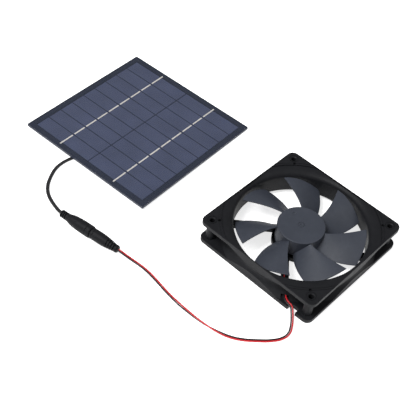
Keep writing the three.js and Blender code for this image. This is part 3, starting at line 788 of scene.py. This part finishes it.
# %% Struts, base, wire channel and notch
STRUT_ANGLE = 129.4
STRUT_OFFSET = 10.5
STRUT_START = 12
STRUT_LENGTH = 46
STRUT_WIDTH = 6.4
STRUT_HEIGHT = 4.6
BASE_RADIUS = 22.5
BASE_LOW = 0.01  # a hair above the flange's lower face, so that the two don't coincide
BASE_TOP = 3.2
RIM_INSIDE = BASE_RADIUS - 1.4
COLLAR_RADIUS = 7.4
COLLAR_TOP = 5.4
BEARING_SEAT_RADIUS = 5.6
LABEL_RADIUS = 19.8
LABEL_DEPTH = 0.8
CHANNEL_TURN = math.radians(STRUT_ANGLE + 180)
CHANNEL_FLOOR = 2.4
CHANNEL_HEIGHT = 4.4
CHANNEL_START = 14
CHANNEL_END = THROAT_RADIUS + 2
CHANNEL_WIDTH = 2 * WIRE_RADIUS + WIRE_SPACING + 0.6
EXIT_SIZE = (10, 7, 2.5)
EXIT_MIDDLE = 63  # along the wires' strut, from the fan's axis
NOTCH_SIZE = (8, 10, 10)  # about the flange's edge, so that half of the depth cuts
NOTCH_X = 42.6

motor_seat_outline = [
    (BEARING_SEAT_RADIUS, BASE_LOW),
    (BASE_RADIUS, BASE_LOW),
    (BASE_RADIUS, STRUT_HEIGHT),
    (RIM_INSIDE, STRUT_HEIGHT),
    (RIM_INSIDE, BASE_TOP),
    (COLLAR_RADIUS, BASE_TOP),
    (COLLAR_RADIUS, COLLAR_TOP),
    (BEARING_SEAT_RADIUS, COLLAR_TOP),
]
motor_seat = turned("motor_seat", soften(motor_seat_outline, 0.3), 96)
for i in range(4):
    strut = rounded_block(
        "strut",
        (STRUT_LENGTH, STRUT_WIDTH, STRUT_HEIGHT - 2 * BASE_LOW),
        (STRUT_START + STRUT_LENGTH / 2, -STRUT_OFFSET, STRUT_HEIGHT / 2),
        rim=0.5,
    )
    move_mesh(strut, Matrix.Rotation(math.radians(STRUT_ANGLE + 90 * i), 4, "Z"))
    combine(motor_seat, "UNION", strut)
duct_limit = rod("duct_limit", DUCT_RADIUS - 0.2, -1, FAN_HEIGHT, sides=ROUND_STEPS)
combine(motor_seat, "INTERSECT", duct_limit)
combine(fan_casing, "UNION", motor_seat)

channel = rounded_block(
    "channel",
    (CHANNEL_END - CHANNEL_START, CHANNEL_WIDTH, CHANNEL_HEIGHT),
    ((CHANNEL_START + CHANNEL_END) / 2, -STRUT_OFFSET, CHANNEL_FLOOR + CHANNEL_HEIGHT / 2),
)
move_mesh(channel, Matrix.Rotation(CHANNEL_TURN, 4, "Z"))
exit_place = (EXIT_MIDDLE, -STRUT_OFFSET, FLANGE + EXIT_SIZE[2] / 2)
wire_exit = rounded_block("wire_exit", EXIT_SIZE, exit_place, corner=1.5, rim=0.4)
move_mesh(wire_exit, Matrix.Rotation(CHANNEL_TURN, 4, "Z"))
wire_notch = rounded_block("wire_notch", NOTCH_SIZE, (NOTCH_X, -FAN_SIDE / 2, 0), corner=1.2)
label_recess = rod("label_recess", LABEL_RADIUS, -1, LABEL_DEPTH, sides=96)
combine(fan_casing, "DIFFERENCE", channel, wire_exit, wire_notch, label_recess)
smooth(fan_casing, 28)
move_mesh(fan_casing, FAN_PLACE)
hand_over(fan_casing, "fan", FRAME_FINISH, "frame_plastic", "fan_frame")
print("fan frame has", len(fan_casing.data.polygons), "faces")

# %% [markdown]
# ## The impeller
# Seven swept blades stand on a cup-shaped hub. A blade's leading edge is high and ahead, its
# trailing edge low and behind, and both edges sweep as they run out to the tip. No primitive has
# that shape, so a flat grid is added and each of its vertices is carried to the blade's middle
# surface by its law. Solidify then gives it its thickness, and a bevel rounds its rim.

# %% One blade
HUB_RADIUS = 20.3
HUB_WALL = 1.5
HUB_TOP = 22.4
HUB_BOTTOM = 5.8
BLADE_COUNT = 7
BLADE_TIP_RADIUS = 54.6
BLADE_ROOT_RADIUS = 19.3
BLADE_THICKNESS = 1.25
BLADE_RIM = 0.42


def blade_point(along, across):
    """A point of the middle surface: along is 0 at the hub, across is 0 at the leading edge."""
    radius = BLADE_ROOT_RADIUS + (BLADE_TIP_RADIUS - BLADE_ROOT_RADIUS) * along
    leading = 75.7 + 24.8 * along - 6.5 * along**2
    trailing = 38.7 + 21.2 * along
    angle = math.radians(leading + (trailing - leading) * across)
    leading_height = 20.6 + 1.2 * along
    trailing_height = 7 + 4.2 * along
    height = leading_height - (leading_height - trailing_height) * across ** (1.3 + 0.5 * along)
    return mm(radius * math.cos(angle), radius * math.sin(angle), height)


pick(None)
bpy.ops.mesh.primitive_grid_add(x_subdivisions=22, y_subdivisions=18, size=1)
blade = name_new("blade")
for vertex in blade.data.vertices:
    vertex.co = blade_point(vertex.co.x + 0.5, 0.5 - vertex.co.y)
modify(blade, "SOLIDIFY", thickness=mm(BLADE_THICKNESS), offset=0, use_even_offset=False)
rim_angle = math.radians(50)
modify(blade, "BEVEL", width=mm(BLADE_RIM), segments=3, limit_method="ANGLE", angle_limit=rim_angle)
print("one blade has", len(blade.data.polygons), "faces")

# %% [markdown]
# ## The hub
# The hub is a cup over the motor, turned from its section. Its top carries the mark of the mould's
# gate in the middle and a small dimple near the rim, where a balancing weight would go.

# %% The hub and the seven blades
HUB_ROOF = 1.6
SKIRT_TOP = 14  # halfway up the side, where the two rounded corners' outlines meet
DIMPLE_PLACE = (-11.9, 5.4, HUB_TOP)
hub_inner = HUB_RADIUS - HUB_WALL
hub_outline = [
    (0, HUB_TOP - HUB_ROOF),
    (hub_inner, HUB_TOP - HUB_ROOF),
    (hub_inner, HUB_BOTTOM),
    *soften([(hub_inner, HUB_BOTTOM), (HUB_RADIUS, HUB_BOTTOM), (HUB_RADIUS, SKIRT_TOP)], 0.3)[4:8],
    *soften([(HUB_RADIUS, SKIRT_TOP), (HUB_RADIUS, HUB_TOP), (14, HUB_TOP)], 0.9, 5)[6:12],
    (3.1, HUB_TOP),
    (2.9, HUB_TOP - 0.35),
    (2.3, HUB_TOP - 0.35),
    (2.1, HUB_TOP),
    (1.3, HUB_TOP),
    (1.0, HUB_TOP - 0.4),
    (0, HUB_TOP - 0.45),
]
impeller_fine = turned("impeller_fine", hub_outline, 128)
dimple_outline = [(0, -0.7), (1.2, -0.6), (1.7, 0.02), (1.7, 1), (0, 1)]
dimple = turned("dimple", soften(dimple_outline, 0.15), 32)
move_mesh(dimple, Matrix.Translation(mm(*DIMPLE_PLACE)))
combine(impeller_fine, "DIFFERENCE", dimple)
blades = [
    copy_of(blade, f"blade_{i}", Matrix.Rotation(2 * math.pi * i / BLADE_COUNT, 4, "Z"))
    for i in range(BLADE_COUNT)
]
bpy.data.objects.remove(blade)
join(impeller_fine, *blades)
smooth(impeller_fine, 32)
move_mesh(impeller_fine, FAN_PLACE)
hand_over(impeller_fine, "rotor", BLADE_FINISH, "blade_plastic", "impeller")
print("impeller has", len(impeller_fine.data.polygons), "faces")

# %% [markdown]
# ## Wires inside the frame
# From the circuit board the two wires lie side by side along the hollow strut and pass through the
# duct wall, where the loose pair takes over. They are held all the way, so they are plain pieces of
# the fan and not free cords.

# %% The held stretch of each wire
wire_level = CHANNEL_FLOOR + 0.15 + WIRE_RADIUS
held_line = [(13.5, 0), (20, 0), (28, 0), (36, 0), (48, 0), (51.4, 0.6), (54.8, 1.7)]
for colour, side, finish in (("red", 1, RED_WIRE_FINISH), ("black", -1, BLACK_WIRE_FINISH)):
    across = -STRUT_OFFSET - side * WIRE_SPACING / 2
    turn = FAN_PLACE @ Matrix.Rotation(CHANNEL_TURN, 4, "Z")
    line = [turn @ mm(x, across, wire_level + rise) for x, rise in held_line]
    held = round_wire(f"{colour}_wire_held", line, mm(WIRE_RADIUS))
    hand_over(held, "fan", finish, f"{colour}_insulation", f"{colour}_wire_inner")
    print(held.name, "done")

# %% [markdown]
# ## The solar panel's finishes
# Each cell is a strip cut from a round silicon wafer: a deep slate blue from its coating, crossed
# by hair-fine silver fingers that gather the current. The board under it is a black laminate. Over
# everything lies a clear, glossy layer of cast resin, which is what gives the panel its sheen.

# %% Cells, board and resin
def panel_places(places):
    """Object coordinates turned square with the panel and counted from its middle."""
    centre = PANEL_PLACE.translation
    sockets = {"Vector": places, "Location": centre, "Rotation": (0, 0, PANEL_TURN)}
    return places.node("ShaderNodeMapping", {"vector_type": "TEXTURE"}, sockets)


def axis_of(places, axis):
    return places.node("ShaderNodeSeparateXYZ", {}, {0: places}, output="XYZ".index(axis))


def stripes(position, pitch, width):
    """1 on thin lines that repeat every pitch millimetres, each width wide."""
    within = position.maths("PINGPONG", position, mm(pitch / 2))
    return within < mm(width / 2)


CELL_FIELD = 133
CELL_ROWS = 9
CELL_PITCH = CELL_FIELD / CELL_ROWS
FINGER_PITCH = 1.9
FINGER_WIDTH = 0.14
WEAVE_PITCH = 0.6

CELL_FINISH, shader, places = new_finish(
    "silicon_cell", Coat_Weight=1.0, Coat_Roughness=0.04, Specular_IOR_Level=0.3
)
square = panel_places(places)
fingers = stripes(axis_of(square, "X"), FINGER_PITCH, FINGER_WIDTH)
shade = ramp(noise(places, 26, detail=2.0), (0.3, 0.0), (0.7, 1.0))
speckle = noise(places, 1.2, detail=3.0, roughness=0.7)
silicon = blend_colours(shade * 0.7 + speckle * 0.3, (0.044, 0.056, 0.112), (0.062, 0.077, 0.15))
wire_up(
    shader,
    Base_Color=blend_colours(fingers * 0.16, silicon, (0.34, 0.35, 0.38)),
    Roughness=0.3 + 0.14 * speckle,
    Metallic=fingers * 0.3,
)

BOARD_FINISH, shader, places = new_finish(
    "black_laminate", Coat_Weight=0.25, Coat_Roughness=0.08, Specular_IOR_Level=0.2
)
square = panel_places(places)
warp = stripes(axis_of(square, "X"), WEAVE_PITCH, WEAVE_PITCH / 2)
weft = stripes(axis_of(square, "Y"), WEAVE_PITCH, WEAVE_PITCH / 2)
weave = warp * 0.5 + weft * 0.5
clouds = noise(places, 12, detail=3.0)
wire_up(
    shader,
    Base_Color=blend_colours(clouds, (0.014, 0.0185, 0.036), (0.02, 0.026, 0.047)),
    Roughness=0.42 + 0.12 * clouds,
    Normal=bumped(weave, 0.01, 0.4),
)

RESIN_FINISH, shader, places = new_finish(
    "clear_resin", Base_Color=(0.07, 0.08, 0.1, 1), Specular_IOR_Level=0.6
)
waves = noise(places, 40, detail=1.0)
smears = ramp(noise(places, 18, detail=4.0), (0.4, 0.0), (0.8, 1.0))
wire_up(
    shader,
    Alpha=0.07 + 0.03 * smears,
    Roughness=0.05 + 0.06 * smears,
    Normal=bumped(waves, 0.12, 0.3),
)
print("panel finishes:", CELL_FINISH.name, BOARD_FINISH.name, RESIN_FINISH.name)

# %% [markdown]
# ## Metals
# Tinned ribbon is bright but soft, because the solder on it froze in ripples. Ground steel and
# turned brass show fine marks of the tool, the laminations of the stator are stripes along its
# height, and a winding is a stack of round enamelled wires. Each layer is coloured darker where it
# meets the next: on the coil that is painted shade in the creases between the turns, on the core
# it is the dark joints between its sheets.

# %% The metal finishes
def metal_finish(name, dark, light, roughness, mark_size, stretch=(1, 1, 1), depth=0.02, metal=1.0):
    material, shader, places = new_finish(name, Metallic=metal)
    stretched = places.node("ShaderNodeMapping", {}, {"Vector": places, "Scale": stretch})
    marks = noise(stretched, mark_size, detail=4.0, roughness=0.6)
    wire_up(
        shader,
        Base_Color=blend_colours(marks, dark, light),
        Roughness=roughness + 0.2 * marks,
        Normal=bumped(marks, depth, 0.5),
    )
    return material


def layered_metal(name, dark, light, roughness, pitch, depth):
    """Metal in layers along Z: sheets of a core, or the turns of a coil."""
    material, shader, places = new_finish(name, Metallic=0.85)
    height = axis_of(places, "Z")
    layer = height.maths("PINGPONG", height, mm(pitch / 2)) / mm(pitch / 2)
    # Colour darker where two layers meet and lighter in each layer's middle: painted shade in the coil's
    # creases between turns, dark joints between the core's sheets
    wire_up(
        shader,
        Base_Color=blend_colours(layer, dark, light),
        Roughness=roughness + 0.15 * (1 - layer),
        Normal=bumped(layer, depth, 0.8),
    )
    return material


TINNED_FINISH = metal_finish("tinned_ribbon", (0.56, 0.54, 0.5), (0.8, 0.78, 0.73), 0.3, 1.6, depth=0.06)
RIBBON_FINISH = metal_finish(
    "soldered_ribbon", (0.66, 0.63, 0.58), (0.95, 0.92, 0.87), 0.42, 1.6, depth=0.06, metal=0.25
)
STEEL_FINISH = metal_finish("ground_steel", (0.42, 0.42, 0.43), (0.58, 0.58, 0.59), 0.22, 1.2, (1, 1, 6))
BRASS_FINISH = metal_finish("turned_brass", (0.5, 0.36, 0.13), (0.66, 0.5, 0.22), 0.22, 0.8, (1, 1, 8))
FOIL_FINISH = metal_finish("label_foil", (0.52, 0.53, 0.54), (0.64, 0.65, 0.66), 0.34, 0.5, (1, 14, 1), 0.01)
CORE_FINISH = layered_metal("core_sheets", (0.16, 0.16, 0.17), (0.4, 0.4, 0.42), 0.4, 0.5, 0.05)
# The coil's dark colour is painted shade, for the creases between its turns
COIL_FINISH = layered_metal("enamelled_coil", (0.24, 0.07, 0.02), (0.62, 0.26, 0.09), 0.3, 0.45, 0.15)

MAGNET_FINISH, shader, places = new_finish("bonded_ferrite", Specular_IOR_Level=0.4)
grit = noise(places, 0.4, detail=4.0, roughness=0.7)
wire_up(
    shader,
    Base_Color=blend_colours(grit, (0.02, 0.018, 0.017), (0.05, 0.047, 0.044)),
    Roughness=0.62 + 0.2 * grit,
    Normal=bumped(grit, 0.03, 0.6),
)

CIRCUIT_FINISH, shader, places = new_finish("green_laminate", Specular_IOR_Level=0.5)
traces = ramp(noise(places, 2.4, detail=1.0), (0.49, 0.0), (0.53, 1.0))
wire_up(
    shader,
    Base_Color=blend_colours(traces, (0.01, 0.09, 0.03), (0.02, 0.15, 0.05)),
    Roughness=0.32 + 0.1 * traces,
    Normal=bumped(traces, 0.03, 0.5),
)
print("metal finishes:", TINNED_FINISH.name, STEEL_FINISH.name, COIL_FINISH.name)

# %% [markdown]
# ## The solar panel
# The board carries a raised border that keeps the resin in, the cells lie inside it, and two tinned
# ribbons run across all the strips. At each seam a ribbon dips under the next strip, so what shows
# is a row of flat bars, one on each strip. The resin is a thin block with rounded rims.

# %% Board, border, ribbons and resin
PANEL_THICKNESS = 2.8
COVER_LOW = 2.25
RIBBON_WIDTH = 1.4
RIBBON_END = 2  # how far a ribbon runs on past the last cell
SEAM_BREAK = 2.1  # how much of a ribbon each seam hides
RIBBON_LOW = 1.96
RIBBON_THICKNESS = 0.1
BORDER_HEIGHT = 0.42
EDGE_INSET = 0.1  # how much narrower the border and its lip are than the board
LIP_WIDTH = 0.6
LIP_LOW = BOARD_THICKNESS + BORDER_HEIGHT - 0.02
LIP_HIGH = COVER_LOW - 0.01

board_size = (PANEL_SIDE, PANEL_SIDE, BOARD_THICKNESS)
panel_board = rounded_block("panel_board", board_size, (0, 0, BOARD_THICKNESS / 2), 0.8, 0.12)


def square_ring(name, opening, low, high):
    """A flat ring as wide as the board, around a square opening."""
    side = PANEL_SIDE - EDGE_INSET
    ring = rounded_block(name, (side, side, high - low), (0, 0, (low + high) / 2), corner=0.8)
    bay = rounded_block(f"{name}_bay", (opening, opening, 6), (0, 0, 2), corner=0.5)
    return combine(ring, "DIFFERENCE", bay)


panel_border = square_ring(
    "panel_border", CELL_FIELD + 0.6, BOARD_THICKNESS, BOARD_THICKNESS + BORDER_HEIGHT
)
panel_lip = square_ring("panel_lip", PANEL_SIDE - EDGE_INSET - 2 * LIP_WIDTH, LIP_LOW, LIP_HIGH)
combine(panel_board, "UNION", panel_border, panel_lip)
smooth(panel_board)
move_mesh(panel_board, PANEL_PLACE)
hand_over(panel_board, "panel", BOARD_FINISH, "board", "backing_board")

for name, x in (("left", -CELL_FIELD / 4), ("right", CELL_FIELD / 4)):
    bars = []
    for row in range(CELL_ROWS):
        low = -CELL_FIELD / 2 + row * CELL_PITCH + (SEAM_BREAK / 2 if row else -RIBBON_END)
        high = -CELL_FIELD / 2 + (row + 1) * CELL_PITCH
        high += RIBBON_END if row == CELL_ROWS - 1 else -SEAM_BREAK / 2
        size = (RIBBON_WIDTH, high - low, RIBBON_THICKNESS)
        centre = (x, (low + high) / 2, RIBBON_LOW + RIBBON_THICKNESS / 2)
        bars.append(rounded_block(f"ribbon_{name}_fine", size, centre, rim=0.03, rim_steps=2))
    ribbon = join(*bars)
    smooth(ribbon)
    move_mesh(ribbon, PANEL_PLACE)
    hand_over(ribbon, "panel", RIBBON_FINISH, "tinned_copper", f"ribbon_{name}")

resin_size = (PANEL_SIDE, PANEL_SIDE, PANEL_THICKNESS - COVER_LOW)
resin_centre = (0, 0, (PANEL_THICKNESS + COVER_LOW) / 2)
panel_resin = rounded_block("panel_resin", resin_size, resin_centre, corner=0.8, rim=0.2)
smooth(panel_resin)
move_mesh(panel_resin, PANEL_PLACE)
hand_over(panel_resin, "panel", RESIN_FINISH, "clear_resin", "clear_cover")
print("panel pieces are done")

# %% [markdown]
# ## The junction cap
# Under the board, near its front edge, a low moulded cap covers the two solder joints. It is a
# shallow box with a soft rim, a lip around its foot and two small plugs where it was filled.

# %% The cap under the board
CAP_WALL = 0.6
CAP_BAY = (CAP_SIZE[0] - 2 * CAP_WALL, CAP_SIZE[1] - 2 * CAP_WALL, 2)
CAP_BAY_LEVEL = -0.4
FILL_MARK_RADIUS = 1.6
FILL_MARK_DEPTH = 0.25
FILL_MARK_OFFSET = 6

cap_size = (*CAP_SIZE, CAP_HEIGHT - 0.12)
cap_centre = (*CAP_CENTRE, -(CAP_HEIGHT + 0.1) / 2)
cap = rounded_block("junction_cap_fine", cap_size, cap_centre, corner=2, rim=0.35)
for offset in (-FILL_MARK_OFFSET, FILL_MARK_OFFSET):
    x = CAP_CENTRE[0] + offset
    mark_top = FILL_MARK_DEPTH - CAP_HEIGHT
    fill_mark = rod("fill_mark", FILL_MARK_RADIUS, -CAP_HEIGHT - 1, mark_top, x, CAP_CENTRE[1])
    combine(cap, "DIFFERENCE", fill_mark)
cap_bay = rounded_block("cap_bay", CAP_BAY, (*CAP_CENTRE, CAP_BAY_LEVEL), corner=1.4)
combine(cap, "DIFFERENCE", cap_bay)
smooth(cap)
move_mesh(cap, PANEL_PLACE)
hand_over(cap, "panel", CONNECTOR_FINISH, "moulded_rubber", "junction_cap")
print("cap has", len(cap.data.polygons), "faces")

# %% [markdown]
# ## The barrel connector
# Both halves are moulded over their contacts and are round about one axis, so each is turned from
# half its section. The socket's tail is a short ribbed strain relief that swells into a fat body.
# The plug is nearly straight, with grooves cut into its last third so that it bends with the wires.

# %% Where the connector lies
CONNECTOR_TURN = math.radians(7.3)
CONTACT_MIDDLE = -4.25  # along the plug's axis, from the face where the halves meet
along_connector = Vector((math.cos(CONNECTOR_TURN), math.sin(CONNECTOR_TURN), 0))
connector_joint = middle("plug_contact") - along_connector * mm(CONTACT_MIDDLE)
CONNECTOR_PLACE = (
    Matrix.Translation(connector_joint)
    @ Matrix.Rotation(CONNECTOR_TURN, 4, "Z")
    @ Matrix.Rotation(math.pi / 2, 4, "Y")
)
print("connector joint at", connector_joint)


def grooves(start, radius, count, pitch, depth, taper=0.0):
    """Rings and grooves of a strain relief, as outline points."""
    points = []
    for i in range(count):
        z = start + i * pitch
        r = radius - i * taper
        points += [(r, z), (r - depth, z + 0.18), (r - depth, z + 0.85), (r - taper / 2, z + 1.0)]
    return points


# %% The socket half
SOCKET_LENGTH = 33
SOCKET_RADIUS = 5.5
SOCKET_BORE = 3.7
BORE_END = -10.7
tail = -SOCKET_LENGTH
socket_outline = [
    (0, tail),
    (3.0, tail),
    (3.4, tail + 0.5),
    *grooves(tail + 1.4, 3.4, 3, 1.9, 1.0),
    (3.45, tail + 7.6),
    (3.9, tail + 9.4),
    (4.5, tail + 11.4),
    (4.95, tail + 14.2),
    (5.3, tail + 18.5),
    (SOCKET_RADIUS, tail + 24),
    (SOCKET_RADIUS, -4.6),
    (SOCKET_RADIUS - 0.3, -4.4),
    (SOCKET_RADIUS - 0.3, -4.0),
    (SOCKET_RADIUS, -3.8),
    (SOCKET_RADIUS, -0.7),
    (SOCKET_RADIUS - 0.6, 0),
    (SOCKET_BORE, 0),
    (SOCKET_BORE, BORE_END),
    (0, BORE_END),
]
socket = turned("socket_fine", soften(socket_outline, 0.2), 80)
smooth(socket, 35)
move_mesh(socket, CONNECTOR_PLACE)
hand_over(socket, "panel", CONNECTOR_FINISH, "moulded_rubber", "socket_body")
print("socket has", len(socket.data.polygons), "faces")

# %% The plug half
PLUG_LENGTH = 28
PLUG_RADIUS = 4.9
plug_outline = [
    (0, 0.3),
    (PLUG_RADIUS - 0.4, 0.3),
    (PLUG_RADIUS, 0.8),
    (PLUG_RADIUS, 2.6),
    (PLUG_RADIUS - 0.25, 2.8),
    (PLUG_RADIUS - 0.25, 3.3),
    (PLUG_RADIUS, 3.5),
    (PLUG_RADIUS, 10),
    (PLUG_RADIUS - 0.15, 14),
    (PLUG_RADIUS - 0.45, 16.6),
    *grooves(17.4, PLUG_RADIUS - 0.5, 4, 2.3, 1.1, 0.32),
    (3.3, PLUG_LENGTH - 0.8),
    (2.9, PLUG_LENGTH),
    (0, PLUG_LENGTH),
]
plug = turned("plug_fine", soften(plug_outline, 0.2), 80)
smooth(plug, 35)
move_mesh(plug, CONNECTOR_PLACE)
hand_over(plug, "fan", CONNECTOR_FINISH, "moulded_rubber", "plug_body")
print("plug has", len(plug.data.polygons), "faces")

# %% [markdown]
# ## The cords' ends and widths
# The last point of each wire's route and the widths of the wires and of the flat lead are worked
# out here, and nothing uses them. Both wires leave the fan and end in the plug; the flat lead leaves
# the panel and ends in the socket.

wire_route(1)[-1]
mm(2 * WIRE_RADIUS)
wire_route(-1)[-1]
mm(2 * WIRE_RADIUS)
mm(LEAD_WIDTH)

# %% [markdown]
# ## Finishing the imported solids
# The cells and the parts inside the motor and the connector already have their true shapes, so
# they stay as they were packed and only take their finishes.

# %% Paint the solids that stay
def paint_solids(finish, *nodes):
    for node in nodes:
        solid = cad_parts[node]
        for material_slot in solid.material_slots:
            material_slot.material = finish
        if not solid.material_slots:
            solid.data.materials.append(finish)


paint_solids(CELL_FINISH, *(f"cell_{i}" for i in range(1, 19)))
paint_solids(FOIL_FINISH, "blank_label")
paint_solids(TINNED_FINISH, "solder_pad_plus", "solder_pad_minus", "plug_sleeve", "socket_pin")
paint_solids(NYLON_FINISH, "socket_liner", "lower_insulator", "upper_insulator")
paint_solids(CONNECTOR_FINISH, "plug_spacer")
paint_solids(BRASS_FINISH, "plug_contact", "bearing_tube", "rotor_bush")
paint_solids(STEEL_FINISH, "rotor_yoke", "shaft", "preload_washer", "retaining_clip")
races = [f"{end}_bearing_{race}" for end in ("upper", "lower") for race in ("inner", "outer")]
paint_solids(STEEL_FINISH, *races)
paint_solids(MAGNET_FINISH, "ring_magnet")
paint_solids(CORE_FINISH, "stator_core")
paint_solids(COIL_FINISH, *(f"winding_{i}" for i in range(1, 5)))
paint_solids(CIRCUIT_FINISH, "driver_board")
paint_solids(CHIP_FINISH, "driver_chip")
print("packed solids are painted")

# %% [markdown]
# ## The studio
# The floor is plain and pale, and glows a little of itself. A strong soft light stands in front, to
# the left and above, a weaker one behind and to the right lifts the far edges, and an even white
# surround keeps the shadows light.

# %% Floor, lights and surround
FLOOR_SIDE = 40  # metres, so that a low view shows no end to it
FLOOR_LEVEL = mm(-0.2)
FLOOR_GLOW = 0.72
SURROUND_STRENGTH = 0.3
WHITE = (1, 1, 1, 1)

pick(None)
bpy.ops.mesh.primitive_plane_add(size=FLOOR_SIDE, location=(0, 0, FLOOR_LEVEL))
floor = name_new("floor")
floor_finish, shader, places = new_finish("studio_floor", Roughness=0.9, Specular_IOR_Level=0.1)
wire_up(shader, Base_Color=blend_colours(noise(places, 400), (0.9, 0.9, 0.9), (0.94, 0.94, 0.94)))
shader.inputs["Emission Color"].default_value = WHITE
shader.inputs["Emission Strength"].default_value = FLOOR_GLOW
floor.data.materials.append(floor_finish)


def soft_light(name, place, size, power):
    """A square lamp, size metres wide, that faces the origin."""
    light = bpy.data.lights.new(name, "AREA")
    light.shape = "SQUARE"
    light.size = size
    light.energy = power
    lamp = bpy.data.objects.new(name, light)
    facing = (-Vector(place)).to_track_quat("-Z", "Y")
    lamp.matrix_world = Matrix.Translation(place) @ facing.to_matrix().to_4x4()
    bpy.context.collection.objects.link(lamp)


soft_light("key_light", (-0.35, -0.9, 1.6), 0.8, 33)
soft_light("back_light", (0.9, 0.9, 1.6), 1.2, 7)
world = bpy.data.worlds.new("studio")
world.use_nodes = True
surround = world.node_tree.nodes["Background"]
surround.inputs["Color"].default_value = WHITE
surround.inputs["Strength"].default_value = SURROUND_STRENGTH
bpy.context.scene.world = world
bpy.context.scene.view_settings.view_transform = "Standard"
print("studio is ready")
